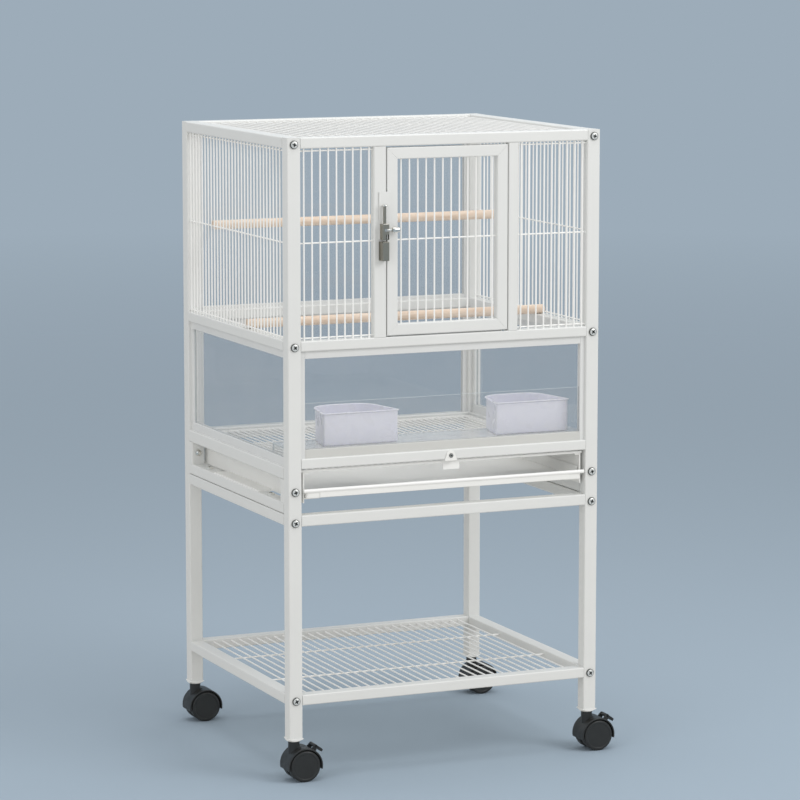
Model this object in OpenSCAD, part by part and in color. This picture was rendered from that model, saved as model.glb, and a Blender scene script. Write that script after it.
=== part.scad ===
// Bird cage of white coated square tube, clear acrylic and round wire, on a stand with casters.
// X runs to the right, Y to the back and Z up from the floor, in millimetres.

/* [Overall size] */
// Width over the corner posts
cage_w = 535; // [500:5:600]
// Depth over the corner posts
cage_d = 468; // [440:4:520]
// Height of the roof frame above the floor
top_z = 1009; // [1007:1:1047]

/* [Square tube] */
// Side of the corner posts and legs, and depth of every rail
post_w = 22; // [20:0.5:24]
// Wall of the tubes
tube_wall = 1.5; // [1:0.1:2]
// Outer corner radius of the tubes
tube_r = 2; // [1:0.1:2.5]

/* [Rail levels] */
// Bottom of the legs
leg_z = 69; // [67:0.5:71]
// Underside of the shelf rails
shelf_rail_z = 121.5; // [112:0.5:137]
// Height of the shelf rails
shelf_rail_h = 16.5; // [15:0.5:18]
// Underside of the rails at the top of the stand
stand_rail_z = 405.5; // [403:0.5:406]
// Seam where the cage stands on its stand
seam_z = 423; // [423:0.5:424]
// Underside of the lowest cage rails
base_rail_z = 424; // [424:0.5:425]
// Height of the lowest cage rails
base_rail_h = 17; // [16:0.5:18]
// Underside of the side rails above the tray
sill_z = 478; // [477:0.5:479]
// Height of the side rails above the tray
sill_h = 19; // [18:0.5:20]
// Underside of the front rail above the tray
front_sill_z = 495.5; // [494:0.5:497]
// Height of the front rail above the tray
front_sill_h = 16; // [15:0.5:17]
// Underside of the middle rails
middle_z = 679; // [677:1:683]
// Height of the middle rails
middle_h = 16; // [15:0.5:18]
// Height of the top rails
top_rail_h = 17; // [15:0.5:18]
// Length of the short posts at both ends of a side base frame, along Y
end_post_d = 14; // [12:1:16]

/* [Front bays and door] */
// Left edge of the left mullion
left_mullion_x = 144.5; // [130:0.5:150]
// Width of the left mullion
left_mullion_w = 20.5; // [19:0.5:21]
// Left edge of the right mullion
right_mullion_x = 375; // [370:0.5:390]
// Width of the right mullion
right_mullion_w = 16.5; // [15:0.5:18]
// Depth of the mullions and of the door
door_t = 15; // [14:0.5:16]
// Gap between the door and each mullion
door_gap = 1.5; // [1.4:0.1:2]
// Gap between the door and the rail under it
door_foot_gap = 2; // [1.5:0.1:4]
// Gap between the door and the rail over it
door_head_gap = 2.2; // [2:0.1:5]
// Width of the door's mitred frame
door_bar = 18; // [16:0.5:19]
// Width and depth of the lines at the mitres
mitre_line = 0.4; // [0.3:0.1:0.6]
// Diameter of the hinge pins
pin_d = 4; // [3:0.5:4]
// Distance of the pins from the hinge edge of the door
pin_in_x = 7; // [6.5:0.5:8]
// Distance of the pins from the front of the door
pin_in_y = 4; // [3.6:0.1:4]

/* [Wires] */
// Diameter of the wires
wire_d = 2.5; // [1.8:0.1:2.6]
// Distance of the wire plane from the outer face
wire_in = 4.5; // [4:0.1:5]
// How far crossing wires are pressed into each other
weld = 0.2; // [0.1:0.05:0.3]
// Level of the cross wire on the front, the door and the sides
cross_z = 846; // [827:1:867]
// Distance of the end wires from the rails
end_wire_in = 4; // [3:0.5:8]
// Number of upright wires in a side
side_wires_n = 31; // [20:1:34]
// Number of upright wires in a front bay
bay_wires_n = 9; // [6:1:10]
// Number of upright wires in the door
door_wires_n = 12; // [8:1:13]
// Number of roof wires
roof_wires_n = 31; // [24:1:36]
// Distance of the roof's cross bars from its middle
roof_cross = 89.5; // [60:1:120]
// Diameter of the roof's cross bars
roof_bar_d = 4; // [3:0.5:5]
// Number of shelf wires
shelf_wires_n = 30; // [20:1:34]
// Spacing of the shelf wires
shelf_pitch = 15.6; // [10:0.1:15.7]
// Distance of the shelf's cross wires from its middle
shelf_cross = 86; // [60:1:120]

/* [Acrylic] */
// Thickness of the acrylic sheets
sheet_t = 3; // [2:0.5:4]
// Thickness of the channel frames that hold the sheets
channel_t = 10; // [8:0.5:11]
// Distance of the channel frames from the outer face
channel_in = 5; // [4:0.5:6]
// Depth of the groove in the channel frames
groove = 6; // [4:0.5:6]
// Clearance of a sheet in its groove, on each face
sheet_clear = 0.2; // [0.2:0.05:0.4]
// Width of the side strips of the channel frames
strip_w = 8; // [8:0.5:10]
// Width of the top band of the channel frames
top_band = 12; // [10:0.5:14]
// Width of the bottom band of the channel frames
bottom_band = 13.5; // [12:0.5:16]
// Top of the sliding half panel in the front
half_top_z = 597; // [567:1:627]
// Clearance under the half panel
half_clear = 0.3; // [0.3:0.1:1]

/* [Tray, grate and runners] */
// Gap between the grate and the posts
grate_side = 2.5; // [1.5:0.5:20]
// Front edge of the grate
grate_y = 8; // [6:0.5:12]
// Clearance behind the grate
grate_back = 4; // [2:0.5:8]
// Width and height of the grate's rim bars
rim_d = 3.6; // [3:0.1:3.6]
// Underside of the grate
grate_z = 489.5; // [489.4:0.05:489.7]
// Number of grate wires
grate_wires_n = 43; // [30:1:45]
// Distance of the grate's cross wires from its middle
grate_cross = 80; // [50:1:120]
// Width of the pull tab under the grate's front bar
tab_w = 28; // [20:1:40]
// Height of the pull tab
tab_h = 13; // [10:1:16]
// Middle of the pull tab
tab_x = 280; // [250:1:300]
// Thickness of the pull tab
tab_t = 1.6; // [1:0.1:2]
// Gap between the tray's front lip and the posts
lip_side = 3; // [1.5:0.5:20]
// Bottom of the tray's front lip
lip_z = 450; // [449.5:0.5:451]
// Height of the tray's front lip
lip_h = 14; // [12:0.5:16]
// Diameter of the roll along the top of the lip
lip_roll = 6; // [4:0.5:7]
// How far the flange under the roll stops short of the roll's ends
lip_short = 27; // [20:1:34]
// Gap between the tray's walls and the runners
tray_side = 1; // [0.5:0.5:18]
// Height of the tray's walls
tray_h = 19; // [15:0.5:20]
// Thickness of the tray's sheet
tray_t = 1; // [0.8:0.1:1.2]
// Clearance behind the tray
tray_back = 8; // [4:1:20]
// Thickness of the runners' sheet
runner_t = 2; // [1.5:0.1:2]
// Distance of the runners from the outer side faces
runner_in = 27; // [26:0.5:27.5]
// Front end of the runners
runner_y = 8; // [8:0.5:10]
// Width of the ledge under the tray
ledge_w = 28; // [20:1:30]
// Top of the ledge under the tray
ledge_z = 449; // [448.5:0.1:449]
// Width of the flange under the grate
flange_w = 10; // [8:0.5:12]
// Clearance between the runners and what slides on them
slide_clear = 0.3; // [0.3:0.05:0.5]
// Length of the feet that join the runners to the side rails
foot_l = 200; // [120:5:240]

/* [Feeders] */
// Width of a feeder along its straight front
feeder_w = 127; // [110:1:140]
// Depth of a feeder
feeder_d = 90; // [80:1:96]
// Radius of a feeder's round back corners
feeder_r = 34; // [28:1:38]
// Distance of the round corners from the feeder's middle
feeder_r_x = 18; // [14:1:22]
// Height of a feeder
feeder_h = 52; // [45:1:60]
// Wall of a feeder
feeder_wall = 2; // [1.6:0.1:2.5]
// Width of the rim around the top of a feeder
feeder_rim = 2.5; // [2:0.5:3]
// Middle of the left feeder
left_feeder_x = 135; // [110:1:150]
// Distance of the right feeder's middle from the right face
right_feeder_in = 102; // [95:1:125]
// Front of the feeders
feeder_y = 31; // [28:1:34]
// Top of the bench that carries the feeders
bench_z = 523.5; // [522:0.5:527]
// Depth of the bench
bench_d = 84; // [70:1:90]
// Front of the bench
bench_y = 24; // [23:1:28]
// Distance of the bench from the outer side faces
bench_in = 16; // [15.5:0.5:17]

/* [Perches] */
// Diameter of the perches
perch_d = 15; // [12:0.5:16]
// Distance of the upper perch from the front
upper_perch_y = 342; // [300:1:400]
// Distance of the lower perch from the front
lower_perch_y = 190; // [120:1:240]
// Clearance of a perch on its wire and before the upright wires
perch_clear = 0.5; // [0.3:0.1:1]

/* [Latch] */
// Middle of the latch
latch_x = 158.5; // [156:0.5:159]
// Width of the latch's blocks
latch_w = 11; // [10:0.5:12]
// Depth of the latch's blocks
latch_d = 12; // [11:0.5:13]
// Thickness of the latch's plates
latch_plate_t = 2; // [1.5:0.1:2.5]
// Width of the latch's plates
latch_plate_w = 13; // [12:0.5:13]
// Bottom of the keeper block
keeper_block_z = 815.5; // [807:0.5:819]
// Height of the keeper block
keeper_block_h = 29.5; // [26:0.5:29.5]
// Bottom of the latch housing
housing_z = 848; // [847:0.5:849]
// Height of the latch housing
housing_h = 25; // [24:0.5:28]
// Width of the notch in the front of the housing, where the rod shows
notch_w = 4.5; // [3:0.5:5]
// Height of that notch
notch_h = 7.2; // [5:0.2:9]
// Foot of that notch over the foot of the housing
notch_foot = 1.4; // [1:0.2:3]
// Top of the plate behind the housing
latch_top_z = 922; // [912:1:927]
// Diameter of the latch rod
rod_d = 5; // [4:0.5:5]
// Top of the latch rod
rod_top_z = 900; // [892:1:902]
// Diameter of the cap on the rod
rod_cap_d = 9; // [7:0.5:10]
// Height of the cap on the rod
rod_cap_h = 2.6; // [2:0.2:4]
// Level of the lever
lever_z = 863; // [862:0.5:864]
// Diameter of the lever's neck
neck_d = 3; // [2.5:0.1:3.4]
// Reach of the lever from the rod
lever_l = 27; // [22:1:30]
// Diameter of the lever's knob
knob_d = 8.6; // [7:0.2:9]
// Travel of the rod into the keeper block
rod_travel = 12; // [8:0.5:12]
// Running clearance around the rod
rod_clear = 0.08; // [0.05:0.01:0.1]

/* [Grate keeper] */
// Pivot of the keeper from the left face
button_x = 275; // [260:1:290]
// Level of the keeper's pivot
button_z = 502; // [500:0.1:503]
// Radius of the keeper above its pivot
button_r = 7.6; // [6:0.2:8]
// Width of the keeper's straight lower edge
button_w = 22; // [18:1:24]
// Reach of the keeper below its pivot
button_drop = 8.4; // [7:0.1:9]
// Thickness of the keeper
button_t = 2; // [1.5:0.1:2.5]
// Diameter of the keeper's screw
button_screw_d = 4; // [3:0.5:4]

/* [Fasteners] */
// Diameter of the corner bolts
bolt_d = 5; // [4:0.5:5]
// Diameter of the bolt heads
head_d = 13; // [10:0.5:14]
// Height of the bolt heads
head_h = 3.6; // [3:0.2:4.5]
// Clearance hole around a bolt, on the radius
bolt_clear = 0.2; // [0.1:0.05:0.3]
// Depth of the threaded plug in the end of a side rail
plug_d = 8; // [6:1:12]
// Diameter of the cap nuts inside the base frames
nut_w = 11; // [10:0.5:12]
// Height of a cap nut
nut_h = 5; // [4:0.5:6]
// Depth of the bolts in the top rails under the top of the cage
bolt_top_in = 10.5; // [8:0.5:11]
// Level of the bolts in the middle rails
bolt_middle_z = 686; // [685:0.5:688]
// Level of the bolts beside the tray
bolt_tray_z = 459.9; // [452:0.1:467]
// Level of the bolts in the rails at the top of the stand
bolt_stand_z = 411.2; // [411:0.1:415]
// Level of the bolts in the shelf rails
bolt_shelf_z = 129; // [127:0.5:131]
// Distance of the front stand bolts from the front
stand_bolt_front = 104; // [60:1:110]
// Distance of the rear stand bolts from the back
stand_bolt_rear = 89; // [60:1:110]

/* [Casters] */
// Diameter of the wheels
wheel_d = 50; // [46:1:50]
// Width of one wheel
wheel_w = 15.6; // [12:0.2:16]
// Gap between the two wheels of a caster
wheel_gap = 8; // [7:0.5:9]
// Distance of the axle from the swivel
caster_trail = 13; // [10:0.5:15]
// Outer radius of the hood
hood_r = 29; // [28:0.5:30]
// Wall of the hood
hood_wall = 2.6; // [2:0.1:3]
// How far the hood reaches below the axle
hood_drop = 6; // [2:0.5:8]
// Thickness of the web between the wheels
web_t = 6; // [5:0.5:6.5]
// Diameter of the axle
axle_d = 6; // [5:0.5:8]
// Diameter of the neck above the hood
caster_neck_d = 18; // [14:0.5:19]
// Diameter of the swivel stem
stem_d = 8; // [6:0.5:10]
// Length of the swivel stem
stem_l = 17; // [12:1:20]
// Running clearance of the axle and the stem, on the radius
caster_clear = 0.06; // [0.03:0.01:0.1]
// Height of the tapered flange of a leg cap
cap_t = 5; // [4:0.5:6]
// Width of the flange of a leg cap
cap_w = 24; // [23:0.5:25]
// Length of the brake pedal
pedal_l = 15; // [10:1:18]
// Width of the brake pedal
pedal_w = 16; // [12:1:20]
// Thickness of the brake pedal
pedal_t = 4.5; // [3:0.5:5]
// Slope of the brake pedal
pedal_tilt = 35; // [25:1:45]

/* [Hidden] */

$fn = 48;
cut = 1;
white_coat = "#E2E3E1";
shaded_coat = "#D3D5D4";
clear_acrylic = [0.75, 0.82, 0.88, 0.35];
milky_plastic = [0.80, 0.81, 0.85, 0.75];
pale_wood = "#DEBE9B";
nickel = "#C9CACC";
grey_zinc = "#7D7F78";
dark_plastic = "#262624";

origin_x = cage_w / 2 + caster_trail;
origin_y = cage_d / 2;
in_x0 = post_w;
in_x1 = cage_w - post_w;
in_y0 = post_w;
in_y1 = cage_d - post_w;
top_rail_z = top_z - top_rail_h;
middle_top = middle_z + middle_h;
door_z = middle_top + door_foot_gap;
door_top_z = top_rail_z - door_head_gap;
bolt_top_z = top_z - bolt_top_in;
right_feeder_x = cage_w - right_feeder_in;
grate_w = cage_w - 2 * (post_w + grate_side);
lip_w = cage_w - 2 * (post_w + lip_side);
tray_w = cage_w - 2 * (runner_in + runner_t + tray_side);
sill_top = sill_z + sill_h;
front_sill_top = front_sill_z + front_sill_h;
base_rail_top = base_rail_z + base_rail_h;
post_mid = post_w / 2;
bolt_levels_cage = [bolt_tray_z, bolt_middle_z, bolt_top_z];
bolt_levels_stand = [bolt_shelf_z, bolt_stand_z];
stand_bolt_ys = [stand_bolt_front, cage_d - stand_bolt_rear];

door_x0 = left_mullion_x + left_mullion_w + door_gap;
door_x1 = right_mullion_x - door_gap;
pin_x = door_x1 - pin_in_x;
pin_clear = 0.1;
pin_run = 6;
shoulder_d = 8;
stop_w = 26;
stop_h = 30;
stop_t = 2;
stop_gap = 0.5;
nut_depth = 2.5;

cross_in = wire_in + wire_d - weld;
slot_t = sheet_t + 2 * sheet_clear;
edge_clear = 0.4;
upper_strip = 6.5;

latch_gap = 0.3;
latch_face = latch_gap + latch_plate_t;
rod_y = -latch_face - latch_d / 2;
chamber_wall = 1;
chamber_d = latch_w - 2 * chamber_wall;
hub_wall = 1.6;
hub_d = rod_d + 2 * hub_wall;
hub_h = 5;
collar_rim = 1;
collar_d = rod_d + 2 * collar_rim;
collar_h = 1.2;
rod_foot_z = housing_z + 1;
keeper_bore_l = 14;
flap_w = 4;

axle_z = wheel_d / 2;
neck_top = leg_z - cap_t;
plug_gap = 0.1;
cap_plug_l = 16;
wheel_edge = 2;
cap_foot = 2;
hood_w = wheel_gap + 2 * wheel_w;
hood_ri = hood_r - hood_wall;
pedal_x = 20;
pedal_z = 29;
barrel_d = 6;
pedal_pin_d = 3;
lug_t = 2.5;
lug_gap = 0.4;

module in_place() {
    translate([-origin_x, -origin_y, 0]) children();
}

// Plain shapes that the pieces are made of

module round_rect(w, d, r) {
    translate([r, 0]) square([w - 2 * r, d]);
    translate([0, r]) square([w, d - 2 * r]);
    for (x = [r, w - r], y = [r, d - r])
        translate([x, y]) circle(r);
}

module tube_section(w, d) {
    difference() {
        round_rect(w, d, tube_r);
        translate([tube_wall, tube_wall]) square([w - 2 * tube_wall, d - 2 * tube_wall]);
    }
}

// Tube along X, with depth d in Y and height h in Z
module tube_x(x0, x1, y, z, d, h) {
    translate([x0, y, z]) rotate([90, 0, 90]) linear_extrude(x1 - x0) tube_section(d, h);
}

// Tube along Y, with width w in X and height h in Z
module tube_y(y0, y1, x, z, w, h) {
    translate([x, y1, z]) rotate([90, 0, 0]) linear_extrude(y1 - y0) tube_section(w, h);
}

// Tube along Z, with width w in X and depth d in Y
module tube_z(x, y, z0, z1, w, d) {
    translate([x, y, z0]) linear_extrude(z1 - z0) tube_section(w, d);
}

module rod_x(x0, x1, y, z, d) {
    translate([x0, y, z]) rotate([0, 90, 0]) cylinder(d = d, h = x1 - x0);
}

module rod_y(x, y0, y1, z, d) {
    translate([x, y0, z]) rotate([-90, 0, 0]) cylinder(d = d, h = y1 - y0);
}

module rod_z(x, y, z0, z1, d) {
    translate([x, y, z0]) cylinder(d = d, h = z1 - z0);
}

// Even places with half a pitch left over at both ends
function spread(lo, hi, n) = [for (i = [0:n - 1]) lo + (i + 0.5) * (hi - lo) / n];

// Posts and legs

module upright(x, y, z0, z1, bolt_levels) {
    difference() {
        tube_z(x, y, z0, z1, post_w, post_w);
        for (z = bolt_levels)
            rod_y(x + post_mid, y - cut, y + post_w + cut, z, bolt_d + 2 * bolt_clear);
    }
}

module post(x, y) {
    color(white_coat) in_place() {
        upright(x, y, seam_z, top_z, bolt_levels_cage);
        translate([x + tube_wall, y + tube_wall, top_z - tube_wall])
            cube([post_w - 2 * tube_wall, post_w - 2 * tube_wall, tube_wall]);
    }
}

module leg(x, y) {
    color(white_coat) in_place() upright(x, y, leg_z, seam_z, bolt_levels_stand);
}

module front_left_post() post(0, 0);
module front_right_post() post(in_x1, 0);
module rear_left_post() post(0, in_y1);
module rear_right_post() post(in_x1, in_y1);
module front_left_leg() leg(0, 0);
module front_right_leg() leg(in_x1, 0);
module rear_left_leg() leg(0, in_y1);
module rear_right_leg() leg(in_x1, in_y1);

// Rails of the front

module front_top_rail() {
    color(white_coat) in_place() difference() {
        tube_x(in_x0, in_x1, 0, top_rail_z, post_w, top_rail_h);
        rod_z(pin_x, pin_in_y, top_rail_z - cut, top_rail_z + tube_wall + cut, pin_d + 2 * pin_clear);
    }
}

module front_middle_rail() {
    color(white_coat) in_place() difference() {
        tube_x(in_x0, in_x1, 0, middle_z, post_w, middle_h);
        rod_z(pin_x, pin_in_y, middle_top - tube_wall - cut, middle_top + cut, pin_d + 2 * pin_clear);
    }
}

module front_lower_rail() {
    color(white_coat) in_place() difference() {
        tube_x(in_x0, in_x1, 0, front_sill_z, post_w, front_sill_h);
        rod_y(button_x, -cut, tube_wall + cut, button_z, button_screw_d + 2 * bolt_clear);
    }
}

// The left mullion carries a small stop behind the edge of the door
module left_mullion() {
    stop_x = left_mullion_x + tube_r;
    color(white_coat) in_place() {
        tube_z(left_mullion_x, 0, middle_top, top_rail_z, left_mullion_w, door_t);
        translate([stop_x, door_t, cross_z - stop_h / 2])
            cube([left_mullion_w - 2 * tube_r, stop_gap, stop_h]);
        translate([stop_x, door_t + stop_gap, cross_z - stop_h / 2]) cube([stop_w, stop_t, stop_h]);
    }
}

module right_mullion() {
    color(white_coat) in_place()
        tube_z(right_mullion_x, 0, middle_top, top_rail_z, right_mullion_w, door_t);
}

// Rails of the back and the sides

module rear_rails() {
    color(white_coat) in_place() for (level = [
        [base_rail_z, base_rail_h], [sill_z, sill_h], [middle_z, middle_h], [top_rail_z, top_rail_h]
    ])
        tube_x(in_x0, in_x1, in_y1, level[0], post_w, level[1]);
}

// Rail along Y with a threaded plug for a bolt in each end
module side_rail(x, z, h, bolt_z) {
    difference() {
        union() {
            tube_y(in_y0, in_y1, x, z, post_w, h);
            for (y = [in_y0, in_y1 - plug_d])
                translate([x + tube_wall, y, z + tube_wall])
                    cube([post_w - 2 * tube_wall, plug_d, h - 2 * tube_wall]);
        }
        for (y = [in_y0, in_y1 - plug_d])
            rod_y(x + post_mid, y - cut, y + plug_d + cut, bolt_z, bolt_d + 2 * pin_clear);
    }
}

module side_rails() {
    color(white_coat) in_place() for (x = [0, in_x1]) {
        side_rail(x, middle_z, middle_h, bolt_middle_z);
        side_rail(x, top_rail_z, top_rail_h, bolt_top_z);
    }
}

// Two rails and two short posts beside the tray, welded into a rectangle
module base_frame(x) {
    color(white_coat) in_place() difference() {
        union() {
            tube_y(in_y0, in_y1, x, base_rail_z, post_w, base_rail_h);
            tube_y(in_y0, in_y1, x, sill_z, post_w, sill_h);
            for (y = [in_y0, in_y1 - end_post_d])
                tube_z(x, y, base_rail_top, sill_z, post_w, end_post_d);
        }
        for (y = [in_y0, in_y1 - end_post_d])
            rod_y(x + post_mid, y - cut, y + end_post_d + cut, bolt_tray_z, bolt_d + 2 * bolt_clear);
        for (y = stand_bolt_ys)
            rod_z(x + post_mid, y, base_rail_z - cut, base_rail_top + cut, bolt_d + 2 * bolt_clear);
    }
}

module left_base_frame() base_frame(0);
module right_base_frame() base_frame(in_x1);

// Four rails that run between the legs
module leg_rails(z, h, bolt_z) {
    for (y = [0, in_y1])
        tube_x(in_x0, in_x1, y, z, post_w, h);
    for (x = [0, in_x1])
        side_rail(x, z, h, bolt_z);
}

module stand_top_rails() {
    stand_rail_h = seam_z - stand_rail_z;
    color(white_coat) in_place() difference() {
        leg_rails(stand_rail_z, stand_rail_h, bolt_stand_z);
        for (x = [post_mid, cage_w - post_mid], y = stand_bolt_ys)
            rod_z(x, y, seam_z - tube_wall - cut, seam_z + cut, bolt_d + 2 * bolt_clear);
    }
}

module shelf_rails() {
    color(white_coat) in_place() leg_rails(shelf_rail_z, shelf_rail_h, bolt_shelf_z);
}

// Wire panels

// Upright wires at the given X places, with cross wires behind them
module front_grid(xs, x0, x1, z0, z1, levels) {
    for (x = xs)
        rod_z(x, wire_in, z0, z1, wire_d);
    for (z = levels)
        rod_x(x0, x1, cross_in, z, wire_d);
}

module front_wires() {
    levels = [middle_top + end_wire_in, cross_z, top_rail_z - end_wire_in];
    bays = [[in_x0, left_mullion_x], [right_mullion_x + right_mullion_w, in_x1]];
    color(white_coat) in_place() for (bay = bays)
        front_grid(spread(bay[0], bay[1], bay_wires_n), bay[0], bay[1], middle_top, top_rail_z, levels);
}

// Side panel, with inward the direction that its cross wires lie in
module side_grid(x, inward) {
    color(white_coat) in_place() {
        for (y = spread(in_y0, in_y1, side_wires_n))
            rod_z(x, y, middle_top, top_rail_z, wire_d);
        for (z = [middle_top + end_wire_in, cross_z, top_rail_z - end_wire_in])
            rod_y(x + inward * (cross_in - wire_in), in_y0, in_y1, z, wire_d);
    }
}

module left_wire_panel() side_grid(wire_in, 1);
module right_wire_panel() side_grid(cage_w - wire_in, -1);

// Level panel of wires along Y, with two cross bars under them
module level_grid(xs, z, cross, bar_d) {
    for (x = xs)
        rod_y(x, in_y0, in_y1, z, wire_d);
    for (y = [cage_d / 2 - cross, cage_d / 2 + cross])
        rod_x(in_x0, in_x1, y, z - (wire_d + bar_d) / 2 + weld, bar_d);
}

module roof_wires() {
    xs = spread(in_x0, in_x1, roof_wires_n);
    color(white_coat) in_place() level_grid(xs, top_z - wire_in, roof_cross, roof_bar_d);
}

module shelf_wires() {
    half_run = shelf_wires_n * shelf_pitch / 2;
    xs = spread(cage_w / 2 - half_run, cage_w / 2 + half_run, shelf_wires_n);
    color(white_coat) in_place() level_grid(xs, shelf_rail_z + shelf_rail_h - wire_in, shelf_cross, wire_d);
}

// Acrylic sheets and the channel frames around them

// Grooved frame in the XZ plane, from its low front corner
module channel_frame(w, h, side, top, bottom) {
    slot_z = bottom > 0 ? bottom - groove : -cut;
    difference() {
        cube([w, channel_t, h]);
        translate([side, -cut, bottom > 0 ? bottom : -cut])
            cube([w - 2 * side, channel_t + 2 * cut, h - top - (bottom > 0 ? bottom : -cut)]);
        translate([side - groove, (channel_t - slot_t) / 2, slot_z])
            cube([w - 2 * side + 2 * groove, slot_t, h - top + groove - slot_z]);
    }
}

// Sheet that stands in such a frame
module channel_sheet(w, h, side, top, bottom) {
    z0 = bottom > 0 ? bottom - groove : 0;
    translate([side - groove + edge_clear, (channel_t - sheet_t) / 2, z0])
        cube([w - 2 * side + 2 * groove - 2 * edge_clear, sheet_t, h - top + groove - edge_clear - z0]);
}

// Turns a frame in the XZ plane to stand along a side
module along_side(x) {
    translate([x, in_y0, sill_top]) rotate([0, 0, 90]) translate([0, -channel_t, 0]) children();
}

side_run = in_y1 - in_y0;
front_run = in_x1 - in_x0;
side_h = middle_z - sill_top;
front_h = middle_z - front_sill_top;
left_channel_x = channel_in;
right_channel_x = cage_w - channel_in - channel_t;
rear_channel_y = cage_d - channel_in - channel_t;

module side_channels() {
    color(white_coat) in_place() for (x = [left_channel_x, right_channel_x])
        along_side(x) channel_frame(side_run, side_h, strip_w, top_band, bottom_band);
}

module side_window(x) {
    color(clear_acrylic) in_place()
        along_side(x) channel_sheet(side_run, side_h, strip_w, top_band, bottom_band);
}

module left_window() side_window(left_channel_x);
module right_window() side_window(right_channel_x);

module front_channel() {
    color(white_coat) in_place() translate([in_x0, channel_in, front_sill_top])
        channel_frame(front_run, front_h, strip_w, top_band, bottom_band);
}

module rear_channels() {
    color(white_coat) in_place() {
        translate([in_x0, rear_channel_y, sill_top]) channel_frame(front_run, side_h, strip_w, top_band, 0);
        translate([in_x0, rear_channel_y, middle_top])
            channel_frame(front_run, top_rail_z - middle_top, upper_strip, upper_strip, upper_strip);
    }
}

module rear_lower_window() {
    color(clear_acrylic) in_place() translate([in_x0, rear_channel_y, sill_top])
        channel_sheet(front_run, side_h, strip_w, top_band, 0);
}

module rear_upper_window() {
    color(clear_acrylic) in_place() translate([in_x0, rear_channel_y, middle_top])
        channel_sheet(front_run, top_rail_z - middle_top, upper_strip, upper_strip, upper_strip);
}

// Half panel that slides up in the grooves of the front channel
module front_half_panel() {
    x0 = in_x0 + strip_w - groove + edge_clear;
    z0 = front_sill_top + bottom_band - groove + half_clear;
    color(clear_acrylic) in_place()
        translate([x0, channel_in + (channel_t - sheet_t) / 2, z0])
            cube([cage_w - 2 * x0, sheet_t, half_top_z - z0]);
}

// Tray, grate and the runners that carry them

module runner() {
    top = grate_z - slide_clear;
    foot_x = tube_r;
    l = in_y1 - runner_y;
    translate([runner_in, runner_y, base_rail_top]) cube([runner_t, l, top - base_rail_top]);
    translate([runner_in, runner_y, top - runner_t]) cube([flange_w, l, runner_t]);
    translate([runner_in, runner_y, ledge_z - runner_t]) cube([ledge_w, l, runner_t]);
    translate([foot_x, (cage_d - foot_l) / 2, base_rail_top])
        cube([runner_in + runner_t - foot_x, foot_l, runner_t]);
}

module tray_runners() {
    color(shaded_coat) in_place() {
        runner();
        translate([cage_w, 0, 0]) mirror([1, 0, 0]) runner();
    }
}

module floor_grate() {
    x0 = (cage_w - grate_w) / 2;
    y1 = in_y1 - grate_back;
    mid_z = grate_z + rim_d / 2;
    wire_y0 = grate_y + rim_d - cut;
    wire_y1 = y1 - rim_d + cut;
    cross_x0 = runner_in + flange_w + runner_t;
    color(white_coat) in_place() {
        for (x = [x0, cage_w - x0 - rim_d])
            translate([x, grate_y, grate_z]) cube([rim_d, y1 - grate_y, rim_d]);
        for (y = [grate_y, y1 - rim_d])
            translate([x0, y, grate_z]) cube([grate_w, rim_d, rim_d]);
        for (x = spread(x0 + rim_d, cage_w - x0 - rim_d, grate_wires_n))
            rod_y(x, wire_y0, wire_y1, mid_z, wire_d);
        for (y = [cage_d / 2 - grate_cross, cage_d / 2 + grate_cross])
            rod_x(cross_x0, cage_w - cross_x0, y, mid_z - wire_d + weld, wire_d);
        translate([tab_x - tab_w / 2, grate_y, mid_z - tab_h]) cube([tab_w, tab_t, tab_h]);
    }
}

module tray() {
    x0 = (cage_w - tray_w) / 2;
    lip_x0 = (cage_w - lip_w) / 2;
    roll_z = lip_z + lip_h - lip_roll / 2;
    l = in_y1 - tray_back;
    floor_z = ledge_z + slide_clear;
    color(shaded_coat) in_place() {
        difference() {
            translate([x0, 0, floor_z]) cube([tray_w, l, tray_h]);
            translate([x0 + tray_t, tray_t, floor_z + tray_t])
                cube([tray_w - 2 * tray_t, l - 2 * tray_t, tray_h]);
            translate([x0 - cut, -cut, roll_z])
                cube([tray_w + 2 * cut, runner_y, tray_h]);
        }
        translate([lip_x0 + lip_short, -tray_t, lip_z])
            cube([lip_w - 2 * lip_short, 2 * tray_t, roll_z - lip_z]);
        rod_x(lip_x0, lip_x0 + lip_w, 0, roll_z, lip_roll);
    }
}

// Turn button on the face of the front rail, above the grate's front bar
module grate_keeper() {
    back = -latch_gap;
    color(white_coat) in_place() difference() {
        translate([button_x, back, button_z]) rotate([90, 0, 0]) linear_extrude(button_t) union() {
            circle(button_r);
            polygon([
                [-button_r, 0], [-button_w / 2, -button_drop], [button_w / 2, -button_drop], [button_r, 0]
            ]);
        }
        rod_y(button_x, back - button_t - cut, back + cut, button_z, button_screw_d + 2 * bolt_clear);
    }
}

// Feeders and their bench

// Point where a line from p touches the circle round c on its right
function touch(p, c, r) =
    let (a = atan2(p[1] - c[1], p[0] - c[0]) + acos(r / norm(p - c)))
        c + r * [cos(a), sin(a)];

// Straight front with two round back corners, drawn inward by inset
module feeder_plan(inset) {
    r = feeder_r - inset;
    c = [feeder_r_x, feeder_d - feeder_r];
    p = [feeder_w / 2 - inset, inset];
    t = touch(p, c, r);
    polygon([[-p[0], p[1]], p, t, [c[0], c[1] + r], [-c[0], c[1] + r], [-t[0], t[1]]]);
    for (side = [-1, 1])
        translate([side * c[0], c[1]]) circle(r);
}

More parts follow.
